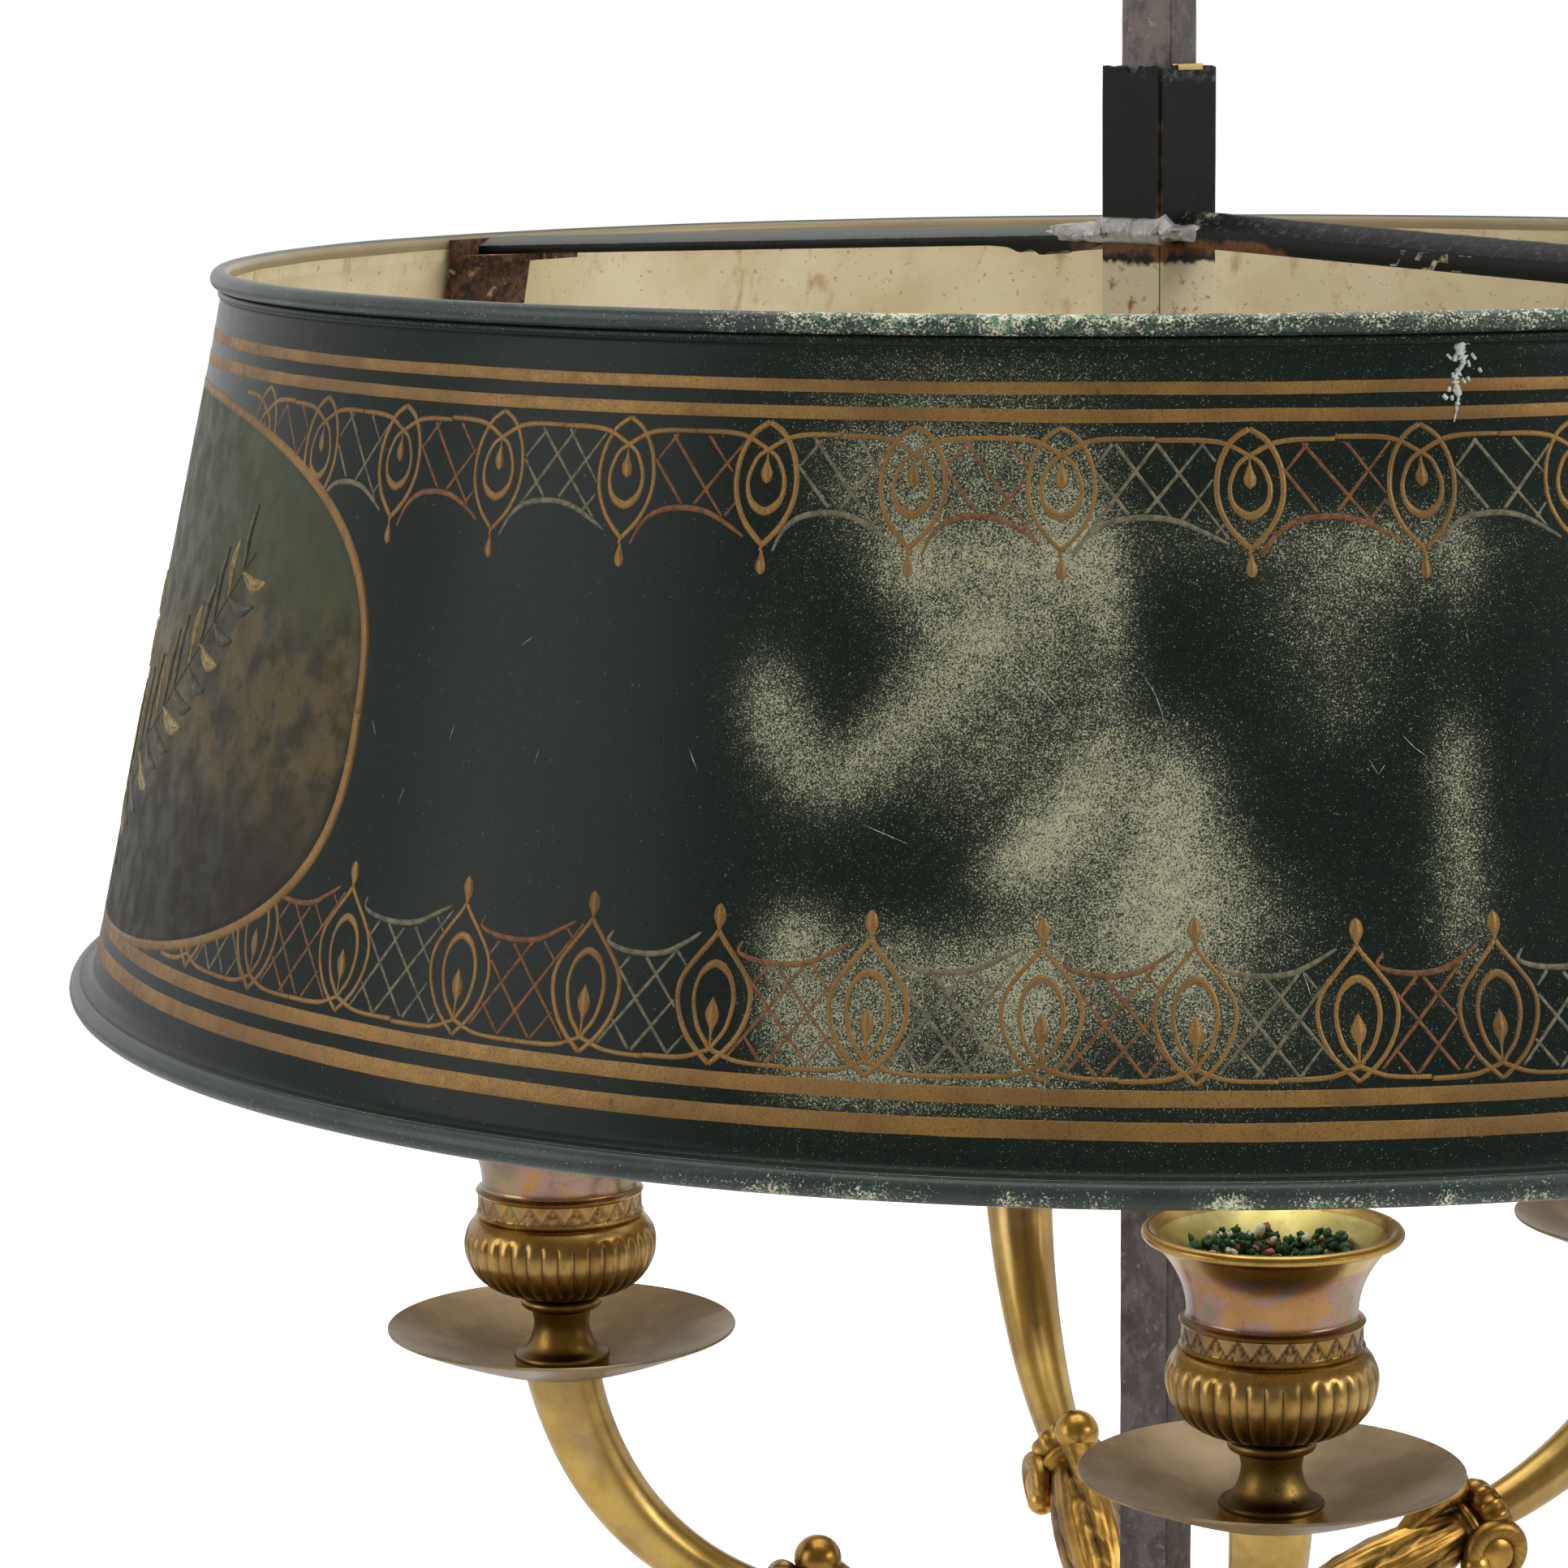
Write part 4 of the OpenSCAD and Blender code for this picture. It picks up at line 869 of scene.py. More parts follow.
# ---------------------------------------------------------------- collar, strut, post
def build_collar():
    """Square tube folded from sheet, open down one corner, with an uneven top edge."""
    half, corner, t, gap = 7.748, 0.75, 0.45, 5.0
    low, tall, rows = 512.5, 66.0, 48
    inset = half - corner
    corners = [(1, -1), (1, 1), (-1, 1), (-1, -1), (1, -1)]
    path = []

    def add(x, y, a):
        n = (cos(radians(a)), sin(radians(a)))
        path.append((x * inset + corner * n[0], y * inset + corner * n[1], n))

    for side in range(4):
        a, opens, shuts = -45 + 90 * side, side == 0, side == 3
        p, q = corners[side:side + 2]
        for b in np.linspace(a + gap * opens, a + 45, 4 + opens):
            add(*p, b)
        for k in np.linspace(0.05, 0.95, 14):
            add(p[0] + (q[0] - p[0]) * k, p[1] + (q[1] - p[1]) * k, a + 45)
        for b in np.linspace(a + 45, a + 90 - gap * shuts, 4 + shuts):
            add(*q, b)
    loop = [(*p, 1) for p in path] + [(*p, -1) for p in path[::-1]]
    n = len(loop)
    verts, scuff_and_sheen, rust, cream = [], [], [], []
    for i in range(rows):
        z0 = low + tall * i / (rows - 1)
        for x, y, (nx, ny), side in loop:
            out = t * side + 0.10 * wob(x / 5, y / 5, z0 / 9) - 0.05
            z = z0
            if i == rows - 1:
                z -= 0.70 * abs(wob(x / 2.2, y / 2.2, 4))
                if ny < -0.9 and abs(x - 0.6) < 1.2:
                    z -= 1.5
            verts.append((x + nx * out, y + ny * out, z))
            scuff_and_sheen.append(0.02 + 0.14 * max(0.0, nx) + (0.20 if z0 > 575 else 0))
            near_seam = exp(-(((x - half) ** 2 + (y + half) ** 2) / 1.6))
            rust.append(min(1.0, 0.45 * near_seam * (0.5 if z0 > 568 else 1) + 0.75 * exp(-((z0 - 544.5) / 4) ** 2)
                            + 0.2 * ease(z0, 575, 578)))
            cream.append(0.85 * (1 - ease(z0, 538, 544)))
    faces = skin([n] * rows)
    for row in (0, (rows - 1) * n):
        faces += [(row + j, row + j + 1, row + n - 2 - j, row + n - 1 - j) for j in range(len(path) - 1)]
    piece("collar_tube", toward(verts, STRUT_TURN), faces, BLACK, "shade", "blackened_iron", ["collar"],
          attrs={"scuff_and_sheen": scuff_and_sheen, "rust": rust, "cream": cream}, sharp=50)


def strut_low(x):
    return STRUT_LOW + STRUT_FALL * (STRUT_END - x)


def build_strut(name, turn, node, lo, h, near):
    """Bar with a roof-shaped top and eased edges that falls from the collar to the shade's wall."""
    eave = 0.55 * h
    left = [(-4.35, 0), (-4.5, 0.3), (-4.5, eave * 0.5), (-4.5, eave - 0.4), (-4.3, eave),
            (-2.5, eave + 0.44 * (h - eave)), (-0.7, h - 0.22)]
    section = left + [(0, h - 0.04)] + mirror(left) + [(0, 0)]
    verts, scuff_and_sheen, rust, cream = [], [], [], []
    for f in np.arange(150) / 149:
        x = lo + (STRUT_END - 0.1 - lo) * f
        side = 0.12 * wob(x / 30, turn, 1)
        drip = 0.0 if near else 1.9 * exp(-((x - 23) / 11) ** 4) * (0.8 + 0.5 * wob(x / 3, 5, 2))
        for y, z in section:
            chew = 0.12 * wob(x / 4, y / 2, z + turn)
            lift = z + (chew if z > eave * 0.9 else 0) - 0.05 if z > 0.2 else -drip
            verts.append((x, y * 0.985 + side + chew * 0.5, strut_low(x) + max(-drip, lift)))
            roof = z >= eave - 0.1
            # painted highlight with real scuffs: the top faces are made lighter, much more on the far half
            scuff_and_sheen.append((0.30 if near else 1.0) if roof else 0.12)
            lip = (0.9 if z < 0.5 else 0.6 if z < 0.6 * eave else 0.0) * exp(-((x - 24) / 16) ** 4) * near
            root = 0.0 if near else 0.55 * exp(-((x - 13) / 7) ** 2)
            rust.append(min(1, max(0, 0.08 + 0.35 * wob(x / 12, y / 6, turn) + lip + root)))
            chips = wob(x / 3.2, y / 1.5, z + 3)
            cream.append(0.5 if near and roof and x < 17 else 0.55 if near and 64 < x < 84 and chips > 0.10 and z < eave
                         else 0.3 if chips > 0.33 else 0.0)
    piece(name, toward(verts, turn), rings(verts, len(section)), BLACK, "shade", "blackened_iron", [node],
          attrs={"scuff_and_sheen": scuff_and_sheen, "rust": rust, "cream": cream}, sharp=60)


def solder_skin():
    """A skin over the far half's root that thins to a ragged edge."""
    h, eave, nx, ny = 3.8, 2.09, 40, 18
    top, under = [], []
    for i in range(nx + 1):
        for j in range(ny + 1):
            u, v = i / nx, 2 * j / ny - 1
            x = 8.95 + 20.0 * u * (0.80 + 0.2 * wob(v * 2.3, 4, 7))
            y = 4.45 * v * (1 - 0.10 * u)
            roof = strut_low(x) + h - (h - eave) * abs(y) / 4.4
            lump = 0.5 + 0.30 * wob(x / 2.6, y / 2.2, 4)
            top.append((x, y, roof + 0.9 * (1 - u ** 4) * (1 - abs(v) ** 6) * lump + 0.03))
            under.append((x, y, roof - 0.4))
    w, half = ny + 1, len(top)
    faces = []
    for a in (i * w + j for i in range(nx) for j in range(ny)):
        faces += [(a, a + 1, a + w + 1, a + w), tuple(half + k for k in (a + w, a + w + 1, a + 1, a))]
    rim = [*range(w), *range(2 * w - 1, half, w), *range(half - 2, nx * w - 1, -1), *range((nx - 1) * w, 0, -w)]
    faces += [(a, b, half + b, half + a) for a, b in zip(rim, rim[1:] + rim[:1])]
    return toward(top + under, FAR_STRUT_TURN), faces


def solder_fillet():
    """A lumpy fillet along the collar."""
    fillet, m = [], 14
    for x in np.linspace(-22, 15, 90):
        is_beside = ease(abs(x), 8.0, 9.0)
        back = -7.8 + (7.8 - 4.2 - 0.14 * max(0.0, -x)) * is_beside
        reach = 2.6 * (1 - ease(x, 6, 15.2)) * ease(x, -22.2, -12) + 0.12
        reach += 1.5 * is_beside * ease(-abs(x), -15, -8.5)
        foot = strut_low(x if x > 8 else 8.2) + (0.9 if x > 8.2 else 0.2)
        tall = 3.0 if x < -8.6 else 3.4 if x > 8.6 else 5.3
        for t in np.arange(m) / (m - 1):
            bulge = max(0.0, sin(pi * t ** 0.75)) ** 0.6 * (1 + 0.28 * wob(x / 2.4, t * 2.2, 9))
            fillet.append((x, back - reach * bulge, foot + tall * t + 0.3 * wob(x / 3, t, 2)))
        fillet.append((x, back + 0.15, foot + 0.55 * tall))
    return toward(fillet, STRUT_TURN), rings(fillet, m + 1)


def build_leaf():
    """Brass spring leaf between the collar and the post, folded over the collar's top edge."""
    inner, outer, top, thick = 7.298, 8.198, 578.5, 0.22
    line = [(inner - 0.26, top - 30), (inner - 0.75, top - 16), (inner - 0.28, top - 3), (inner - 0.26, top - 0.2)]
    line = curve(line, 1.5)[:-1] + line[3:]
    line += arc(inner - 0.01, top + 0.02, 0.25, 180, 90, 4) + arc(outer + 0.03, top + 0.02, 0.25, 90, 0, 4)
    line.append((outer + 0.27, top - 0.9))
    verts = []
    for (x, z), (dx, dz) in zip(line, heading(line)):
        half = 3.5 - 0.25 * abs(wob(x, z / 3, 1))
        verts += [(x, -half, z), (x, half, z)]
        verts += [(x + dz * thick, side, z - dx * thick) for side in (half, -half)]
    piece("collar_leaf", toward(verts, STRUT_TURN), rings(verts, 4), PALE_BRASS, "shade", "brass", ["spring_leaf"],
          sharp=40)


def build_post():
    """Square bar with eased corners and a slightly hammered face, its tie rod below and stud above."""
    half, corner, low, tall, count = 5.5, 0.45, 258.0, 430.0, 150
    inset = half - corner
    corners = [(1, 1), (-1, 1), (-1, -1), (1, -1), (1, 1)]
    section = []
    for q in range(4):
        (sx, sy), (tx, ty) = corners[q:q + 2]
        section += arc(sx * inset, sy * inset, corner, 90 * q, 90 * q + 90, 4)
        x, y = section[-1]
        ex, ey = arc(tx * inset, ty * inset, corner, 90 * q + 90, 90 * q + 90, 1)[0]
        section += [(x + (ex - x) * k / 6, y + (ey - y) * k / 6) for k in range(1, 6)]
    verts = []
    for i in range(count):
        z = low + tall * i / (count - 1)
        for x, y in section:
            d = 1 + (0.07 * wob(x / 5, y / 5, z / 7) - 0.04) / half
            verts.append((x * d, y * d, z))
    rod = lathe([(0, 1.1), (4, 1.1), (4, 258.5), (0, 258.5)], 48)
    stud = lathe([(0, 687.5), (3, 687.5), (3, 698.6), (2.6, 699), (0, 699)], 40)
    v, f = merge((toward(verts, POST_TURN), rings(verts, len(section))), rod, stud)
    # one face of the bar is marked darker; the rod and stud take half
    darkening = [float(x > 5.2) for x, _ in section] * count
    piece("post_bar", v, f, IRON, "stand", "post_iron", ["post"],
          attrs={"darkening": darkening + [0.5] * (len(v) - len(darkening))}, sharp=40)


build_collar()
build_strut("strut_bar_near", STRUT_TURN, "strut_near", 8.25, 6.8, True)
build_strut("strut_bar_far", FAR_STRUT_TURN, "strut_far", 9.0, 3.8, False)
piece("solder_runs", *merge(solder_skin(), solder_fillet()), SOLDER, "shade", "solder", ["collar_solder"])
build_leaf()
build_post()

# ---------------------------------------------------------------- arms
SLEEVE_SLOPE, SLOPE_PER_LIFT = 19.5, 0.6
SLEEVE_START, SLEEVE_LEN, MOUTH_R = 17.8, 68.0, 7.0
SLEEVE_END = SLEEVE_START + SLEEVE_LEN


def sloped(along, side, up, lift):
    """Point of an arm's sleeve: along its axis, beside it and above it."""
    a = radians(SLEEVE_SLOPE + SLOPE_PER_LIFT * lift)
    c, s = cos(a), sin(a)
    return np.stack([along * c - up * s, side + 0 * along, HUB_Z + along * s + up * c], -1)


def build_horn(name, turn, lift):
    under = PAN_FLOOR - 1 + lift
    p = np.array([sloped(SLEEVE_END + lead, 0, 0, lift)[[0, 2]] for lead in (0, 12)]
                 + [(REACH - 6.4, under - 32.5), (REACH, under)])
    t = np.linspace(0, 1, 56)[:, None]
    path = (1 - t) ** 3 * p[0] + 3 * t * (1 - t) ** 2 * p[1] + 3 * t * t * (1 - t) * p[2] + t ** 3 * p[3]
    n, last = 48, len(path) - 1
    verts, tarnish, soil_and_shade = [], [], []
    for i, ((x, z), (dx, dz)) in enumerate(zip(path, heading(path))):
        f = i / last
        a = atan2(dz, dx)
        a += (pi / 2 - a) * f ** 4
        r = (9.2 + 6.1 * f ** 1.3) / 2
        for b in turns(n):
            rr = r + 0.05 * wob(x / 9, z / 9, b) - 0.03
            verts.append((x - rr * cos(b) * sin(a), rr * sin(b), z + rr * cos(b) * cos(a) if i < last else z))
            tarnish.append(max(0.0, wob(x / 14, b, z / 14 + turn) + 0.5 * f ** 3))
            soil_and_shade.append(0.15 * (1 - f) ** 6 + 0.10 * f ** 20)
    spigot, sf = lathe([(0, under - 2), (2.5, under - 2), (2.5, under + 11.6), (2.2, under + 12), (0, under + 12)], 32)
    v, f = merge((verts, rings(verts, n)), (spigot + [REACH, 0, 0], sf))
    extra = [0.0] * len(spigot)
    piece("horn_" + name, toward(v, turn), f, HORN_BRASS, "stand", "brass", ["arm_" + name],
          attrs={"tarnish": tarnish + extra, "soil_and_shade": soil_and_shade + extra}, sharp=50)


def build_sleeve(name, turn, lift):
    """Cast sleeve like a leaf wrapped round the arm: beaded shoulder, ribbed mouth with a ball, side curls."""
    ring, knob, n = 2.0, 3.2, 96
    to = SLEEVE_LEN - 2 * knob - 4
    prof = [(0.0, -9.0), (3.9, -9.0), (4.0, -8.6), (4.0, 0.0)]
    shoulder = grow(prof, arc(MOUTH_R - ring, ring, ring, -90, 90, 10))
    prof += [(5.1, 4.6), (5.0, 6.0)]
    leaf = grow(prof, [(5.0 + 3.1 * sin(pi * (u - 8) / (to - 8)) ** 0.9, u) for u in np.linspace(8, to, 54)])
    prof += arc(MOUTH_R - 1, to + 2, 1, -90, 90, 6)
    lips = grow(prof, arc(MOUTH_R - 2.4, SLEEVE_LEN - knob, knob, -80, 80, 14))
    prof += [(4.9, SLEEVE_LEN), (0.0, SLEEVE_LEN)]
    deep = {}

    def relief(angles, i):
        if i in leaf:
            f = (prof[i][1] - 8) / (to - 8)
            lobes = np.abs(np.cos(3 * angles + 0.5 * sin(f * 3)))
            vein = 0.16 * np.cos(24 * angles + 14 * f)
            frill = 0.42 * np.maximum(0, np.sin(f * 34 + 2.4 * np.cos(6 * angles))) * (1 - lobes ** 2)
            d = (1.25 * (lobes ** 0.7 - 0.62) + vein + frill) * smooth(f, 0.0, 0.12) * (1 - smooth(f, 0.90, 1.0))
            base, share = 0.55, 0.8
        elif i in shoulder:
            d, base, share = 0.22 * np.cos(18 * angles), 0.2, 1
        elif i in lips:
            d, base, share = 0.30 * np.cos(14 * angles) * sin(pi * (i - lips[0]) / 14), 0.3, 1.6
        else:
            return 0 * angles
        deep[i] = np.clip(base - share * d, 0, 1)
        return d

    v, f = lathe(prof, n, relief)
    soil_and_shade = np.concatenate([[0.1] if r < 1e-6 else deep.get(i, np.full(n, 0.25)) for i, (r, _) in enumerate(prof)])
    soil_and_shade = soil_and_shade.tolist()
    parts = [(sloped(v[:, 2] + SLEEVE_START, v[:, 1], v[:, 0], lift), f)]

    def add(path, radius, side, flat):
        pts, quads = tube(path, radius, 22, flat)
        parts.append((sloped(pts[:, 0], pts[:, 1] + side, pts[:, 2], lift), quads))
        soil_and_shade.extend(0.25 + 0.25 * sin(k * 0.8) ** 2 for k in range(len(pts)))

    def ball(along, side, up, r, squash=1.0):
        pts, quads = lathe(arc(0, 0, r, -90, 90, 18), 32)
        parts.append((sloped(pts[:, 2] + along, squash * pts[:, 1] + side, pts[:, 0] + up, lift), quads))
        soil_and_shade.extend([0.05] * len(pts))

    ball(SLEEVE_END - 8.7, 0, MOUTH_R + 3.4, 4.8)
    tongue = curve([(SLEEVE_END - 24, 5.5), (SLEEVE_END - 17, 7.6), (SLEEVE_END - 11, 9.0)], 1.0)
    add(tongue, np.linspace(1.2, 3.0, len(tongue)), 0, 1.3)
    for side in (-MOUTH_R, MOUTH_R):
        path = [(SLEEVE_END - 7 + 5.2 * sin(t), -5.4 - 5.2 * cos(t)) for t in np.radians(np.linspace(0, 270, 40))]
        add(path, [1.4 + 1.05 * ease(k, 0, 18) - 0.3 * k / 39 for k in range(40)], side, 1.0)
        ball(SLEEVE_END - 12.2, side, -5.4, 3.15)
        ball(SLEEVE_END - 7, side, -5.4, 4.4, 0.5)
    verts, faces = merge(*parts)
    piece("sleeve_leaf_" + name, toward(verts, turn), faces, LEAF_BRASS, "stand", "brass", ["sleeve_" + name],
          attrs={"soil_and_shade": soil_and_shade}, sharp=60)


def build_pan(name, turn, lift):
    """Spun dish with a flat floor and a fine rolled rim."""
    floor_r, pan_r, depth, t, n = 9.5, 35.0, 8.5, 1.0, 29
    rise = [(floor_r + (pan_r - floor_r) * s, depth * s ** 1.25) for s in np.linspace(0, 1, n + 1)]
    under = [(r - 0.15 * i / n, z - t * (1 - 0.35 * i / n)) for i, (r, z) in enumerate(rise[:-1])]
    prof = [(2.85, 0.0), (5.0, 0.0)] + rise[:-1] + [(34.75, 8.44), (34.95, 8.25), (34.9, 7.95)] + under[::-1]
    prof += [(5.0, -t), (2.85, -t)]
    v, f = lathe(prof, 144, lambda angles, i: 0.10 * (np.sin(2 * angles + turn) - 1) * (prof[i][0] / 35) ** 2, True)
    piece("pan_dish_" + name, toward(v + [REACH, 0, PAN_FLOOR + lift], turn), f, PAN, "stand", "pan_bronze",
          ["drip_pan_" + name], sharp=40)


def build_cup(name, turn, lift):
    """Urn cup: ribbed bowl, chased band, iridescent trumpet neck and rolled lip."""
    h, lip_r, bowl_r, neck_r, band_r, hole_r = 53.0, 23.5, 19.2, 15.4, 16.35, 11.5
    flare, hole_top, ribs, n = 37.0, 39.0, 36, 216
    prof = [(0.0, 11.5), (2.55, 11.5), (2.55, 0.0), (9.4, 0.0), (9.4, 1.4)]
    foot = grow(prof, arc(8.7, 2.1, 0.9, -45, 90, 7)
                + [(7.9, 3.35), (7.2, 3.9), (6.5, 5.1), (6.0, 6.3), (5.6, 7.8), (5.5, 9.2), (5.75, 10.6), (6.0, 11.6)]
                + arc(6.9, 13.2, 1.2, -90, 90, 8) + [(7.7, 14.75), (9.6, 15.2)])
    bowl = grow(prof, arc(bowl_r - 10, h * 0.48, 10, -75, 0, 18) + arc(bowl_r - 7, h * 0.48, 7, 5, 48, 9))
    prof += [(16.1, 30.95), (16.55, 31.2), (16.75, 31.6), (16.5, 31.95)]
    band = grow(prof, [(band_r, z) for z in np.linspace(32.2, 35.6, 12)])
    prof += [(16.55, 35.8), (16.75, 36.15), (16.5, 36.5), (15.9, 36.7), (15.55, 37.0)]
    trumpet = grow(prof, [(neck_r + (lip_r - 1.2 - neck_r) * s ** 2.2, flare + (h - 1.6 - flare) * s)
                          for s in np.linspace(0.04, 0.94, 20)])
    lip = grow(prof, arc(lip_r - 1.1, h - 1.1, 1.1, -70, 110, 12))
    inside = grow(prof, [(hole_r + (lip_r - 3 - hole_r) * s ** 1.7, hole_top + (h - 1.2 - hole_top) * s)
                         for s in np.linspace(0.98, 0, 18)]
                  + [(hole_r, hole_top - 10), (hole_r, hole_top - 20), (0.0, hole_top - 20)])
    deep = {}

    def relief(angles, i):
        if i in bowl:
            f = (i - bowl[0]) / (len(bowl) - 1)
            swell = smooth(f, 0.0, 0.12) * (1 - smooth(f, 0.74, 0.9))
            d = 0.62 * (np.abs(np.cos(ribs / 2 * angles)) ** 0.6 - 1) * swell
            deep[i] = np.clip(0.16 - 0.6 * d, 0, 1) * swell + 0.2 * (1 - swell)
            return d
        if i in band:
            f = (i - band[0]) / (len(band) - 1)
            saw = np.abs(((angles * 22 / (2 * pi)) % 1) * 2 - 1)
            cut = np.exp(-((saw - f) / 0.13) ** 2) + 0.8 * np.exp(-((saw - 0.5 - f / 2) / 0.08) ** 2) * (f < 0.7)
            deep[i] = np.clip(0.28 + 0.65 * cut, 0, 1)
            return -0.22 * cut
        return 0 * angles

    v, f = lathe(prof, n, relief)
    soil_and_shade, tarnish = [], []
    for i, (r, z) in enumerate(prof):
        if i in foot:
            base = 0.55 + 0.35 * exp(-((z - 3.3) / 1.0) ** 2) + 0.3 * exp(-((z - 14.7) / 0.6) ** 2)
        elif i in inside:
            base = 0.10 if z > 45 else 0.45
        else:
            base = 0.12 if i < foot[0] or i in lip else 0.04 if i in trumpet else 0.28
        count = 1 if r < 1e-6 else n
        soil_and_shade += list(deep.get(i, np.full(count, base)))
        glow = 1.0 if trumpet[0] - 3 <= i < trumpet[-5] else 0.45 if i in band else 0.15 if i in bowl else 0.0
        tarnish += [glow] * count
    # painted shade and light: the front cup's colour is darkened and the left cup's lightened, for how light falls on
    # each
    darkening = {"left": 0.7, "front": 1.25}.get(name, 1.0)
    piece("cup_urn_" + name, toward(v + [REACH, 0, PAN_FLOOR + lift], turn), f, [CUP_BRASS, MOUTH_BRASS],
          "cup_" + name, "brass", ["candle_cup_" + name], index=np.repeat(np.arange(len(prof) - 1) >= inside[0], n),
          attrs={"soil_and_shade": np.minimum(np.array(soil_and_shade) * darkening, 1), "tarnish": tarnish}, sharp=38)


def build_crumbs(name, turn, lift, count):
    """Dried green crumbs with white and pink bits, caught in a cup's mouth."""
    parts, tint = [], []
    for _ in range(count):
        r, a = rng.uniform(9.5, 15.8), pi + (rng.gauss(0, 0.9) if rng.random() < 0.6 else rng.uniform(-3.1, 3.1))
        z = PAN_FLOOR + lift + 39.6 + 12.8 * (max(0.0, r - 11.3) / 9) ** 0.59 + rng.uniform(-0.3, 1.2)
        bm = bmesh.new()
        bmesh.ops.create_icosphere(bm, subdivisions=2, radius=1.0)
        size = [rng.uniform(0.4, 1.2) for _ in range(3)]
        spin = Matrix.Rotation(rng.uniform(0, 6.28), 3, "X") @ Matrix.Rotation(rng.uniform(0, 6.28), 3, "Z")
        seed = rng.uniform(0, 90)
        pts = []
        for vert in bm.verts:
            k = 1 + 0.55 * noise.noise(vert.co * 1.7 + Vector((seed, 0, 0)))
            q = spin @ Vector([c * s * k for c, s in zip(vert.co, size)])
            pts.append((REACH + r * cos(a) + q.x, r * sin(a) + q.y, z + q.z))
        parts.append((pts, [tuple(v.index for v in f.verts) for f in bm.faces]))
        tint += [rng.random()] * len(pts)
        bm.free()
    v, f = merge(*parts)
    piece("crumbs_" + name, toward(v, turn), f, CRUMBS, "cup_" + name, "brass", attrs={"tint": tint})


for arm, (turn, lift) in ARMS.items():
    build_horn(arm, turn, lift)
    build_sleeve(arm, turn, lift)
    build_pan(arm, turn, lift)
    build_cup(arm, turn, lift)
build_crumbs("front", 0.0, 0.0, 420)


# ---------------------------------------------------------------- foot cloth
def build_baize():
    """Disc of green baize glued under the foot, open in the middle for the nut."""
    radii = np.linspace(14.4, 121.8, 36)
    prof = [(r, 0.0) for r in radii] + [(122.0, 1.0)] + [(r, 1.95) for r in radii[::-1]]

    def frayed(angles, i):
        return np.array([0.25 * ring_wob(a, 40, i) for a in angles]) * (prof[i][0] > 118)

    v, f = lathe(prof, 240, frayed, closed=True)
    for p in v:
        if p[2] < 0.5:
            p[2] = 0.10 + 0.10 * wob(p[0] / 5, p[1] / 5, 2)
    obj = piece("foot_baize", v, f, FELT, "stand", "baize", ["base_baize"], sharp=50)


build_baize()

# ---------------------------------------------------------------- CAD nodes that keep their shape
FINISH = {BRASS: ["base_dish", "stem_socle", "stem_column", "stem_capital", "arm_hub", "hub_cap", "finial"],
          WIRE: ["base_weight", "base_washer", "base_nut", "rim_wire_top", "rim_wire_bottom"],
          RUSTY: ["bracket_near", "bracket_far"]}
for material, names in FINISH.items():
    for node in names:
        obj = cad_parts[node]
        obj.data.materials.clear()
        obj.data.materials.append(material)

# ---------------------------------------------------------------- camera, light, floor
FOCAL, SIDE, YAW, PITCH, ROLL = 120.24, radians(9.93), 0.0720, 0.1514, -0.0083
DIST, EYE = 1034.4, 594.5
WHITE, LAMP_MIDDLE = [1, 1, 1, 1], Vector((0, 0, 0.42))


def build_camera():
    def turned(a, p, q):
        return cos(a) * p + sin(a) * q, cos(a) * q - sin(a) * p

    across, away = turned(-SIDE, Vector((1, 0, 0)), Vector((0, 1, 0)))
    right, ahead = turned(YAW, across, away)
    crown, look = turned(PITCH, Vector((0, 0, 1)), ahead)
    r, u = turned(ROLL, right, crown)
    cam = bpy.data.cameras.new("camera")
    cam.lens, cam.sensor_width, cam.sensor_height, cam.sensor_fit = FOCAL, 36.0, 36.0, "AUTO"
    cam.clip_start, cam.clip_end = 0.05, 60.0
    obj = added("camera", cam)
    place = Vector((-DIST * sin(SIDE), -DIST * cos(SIDE), EYE)) * MM
    obj.matrix_world = Matrix.Translation(place) @ Matrix((r, u, -look)).transposed().to_4x4()
    scene.camera = obj


def area_light(name, at, size, power):
    data = bpy.data.lights.new(name, "AREA")
    data.shape, data.size, data.size_y, data.energy = "RECTANGLE", *size, power
    obj = added(name, data)
    obj.location = at
    obj.rotation_mode = "QUATERNION"
    obj.rotation_quaternion = (LAMP_MIDDLE - Vector(at)).to_track_quat("-Z", "Y")


def blank(datablock):
    """The emptied node tree of a world or material."""
    datablock.use_nodes = True
    datablock.node_tree.nodes.clear()
    return Nodes(datablock.node_tree)


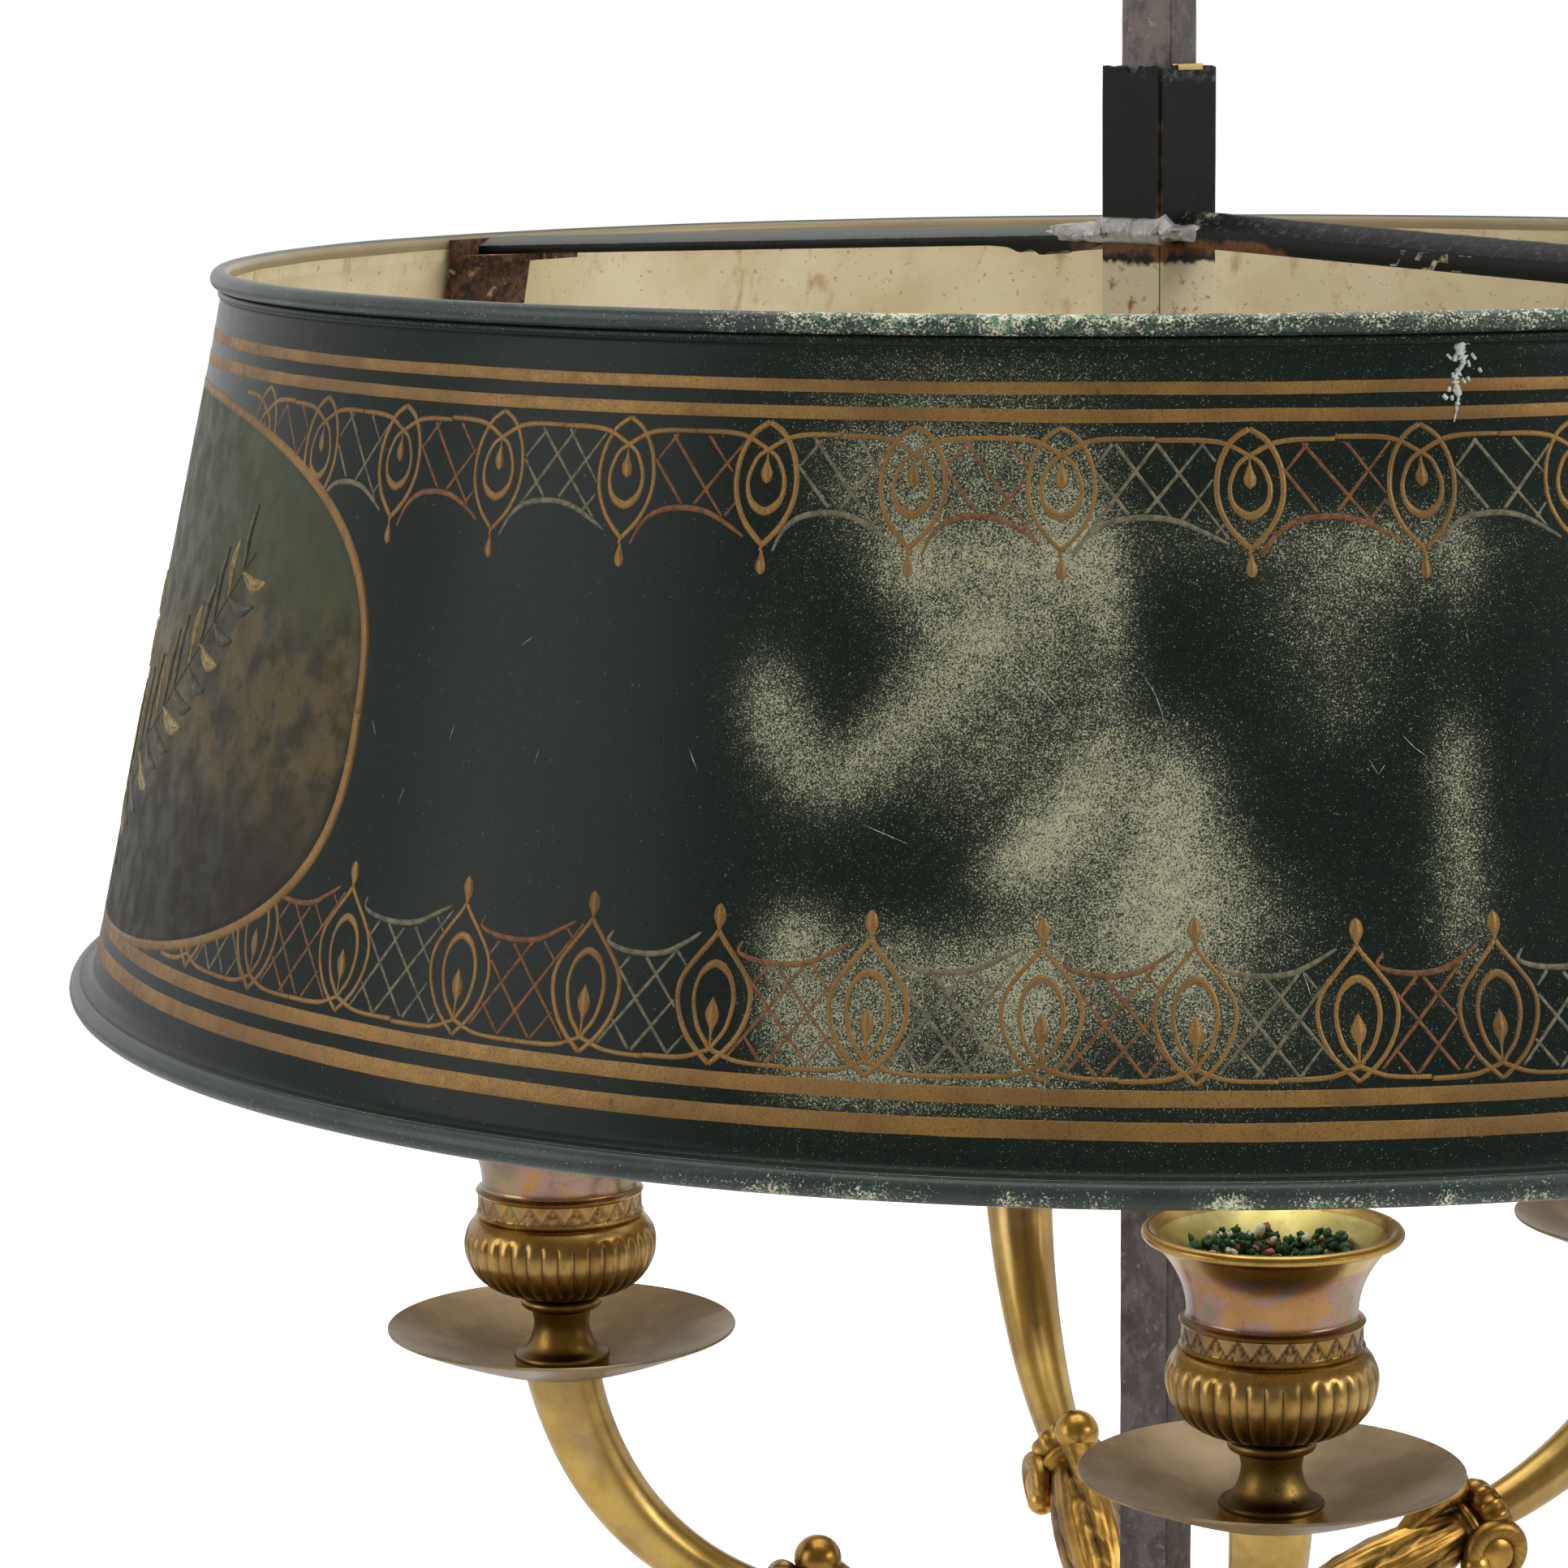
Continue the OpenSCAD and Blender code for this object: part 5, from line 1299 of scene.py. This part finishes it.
def build_world():
    """White room: seen and mirrored as white behind the lamp, darker where the camera stands."""
    scene.world = bpy.data.worlds.new("studio")
    m = blank(scene.world)
    facing = m.node("VectorMath", "Value", {0: m.node("TexCoord", "Generated"), 1: [-sin(SIDE), -cos(SIDE), 0.10]},
                    operation="DOT_PRODUCT")
    seen, mirrored, plain = (m.node("Background", 0, {"Color": WHITE, "Strength": strength})
                             for strength in (1.0, m.step(facing, -0.15, 0.75, 1.0, 0.30), 0.55))
    shiny = m.math("MAXIMUM", m.node("LightPath", "Is Glossy Ray"), m.node("LightPath", "Is Transmission Ray"))
    unseen = m.node("MixShader", 0, {0: shiny, 1: plain, 2: mirrored})
    m.node("OutputWorld", inputs={"Surface": m.node("MixShader", 0, {
        0: m.node("LightPath", "Is Camera Ray"), 1: unseen, 2: seen})})


def build_floor():
    """Pale ground that the camera sees brightened into the room."""
    mesh = bpy.data.meshes.new("floor")
    size, below = 6.0, 0.0004
    mesh.from_pydata([(-size, -size, 0), (size, -size, 0), (size, size, 0), (-size, size, 0)], [], [(0, 1, 2, 3)])
    floor = added("floor", mesh)
    floor.location.z = -below
    material = bpy.data.materials.new("floor")
    m = blank(material)
    away = m.node("VectorMath", "Value", {0: m.node("TexCoord", "Object")}, operation="LENGTH")
    none, glow = (m.node("Emission", 0, {"Strength": strength})
                  for strength in (0.0, m.step(away, 0.45, 1.8, 0.45, 0.95, "LINEAR")))
    pick = m.node("MixShader", 0, {0: m.node("LightPath", "Is Camera Ray"), 1: none, 2: glow})
    cloth = m.node("BsdfDiffuse", 0, {"Color": [0.86, 0.86, 0.86, 1]})
    m.node("OutputMaterial", inputs={"Surface": m.node("AddShader", 0, {0: cloth, 1: pick})})
    mesh.materials.append(material)


build_camera()
build_world()
build_floor()
area_light("key", (1.65, -1.0, 1.35), (1.1, 1.1), 27)
area_light("fill", (-1.75, -0.45, 0.95), (1.0, 1.4), 11)
area_light("top", (0.0, 0.2, 2.2), (1.6, 1.6), 22)
scene.view_settings.view_transform = "Standard"
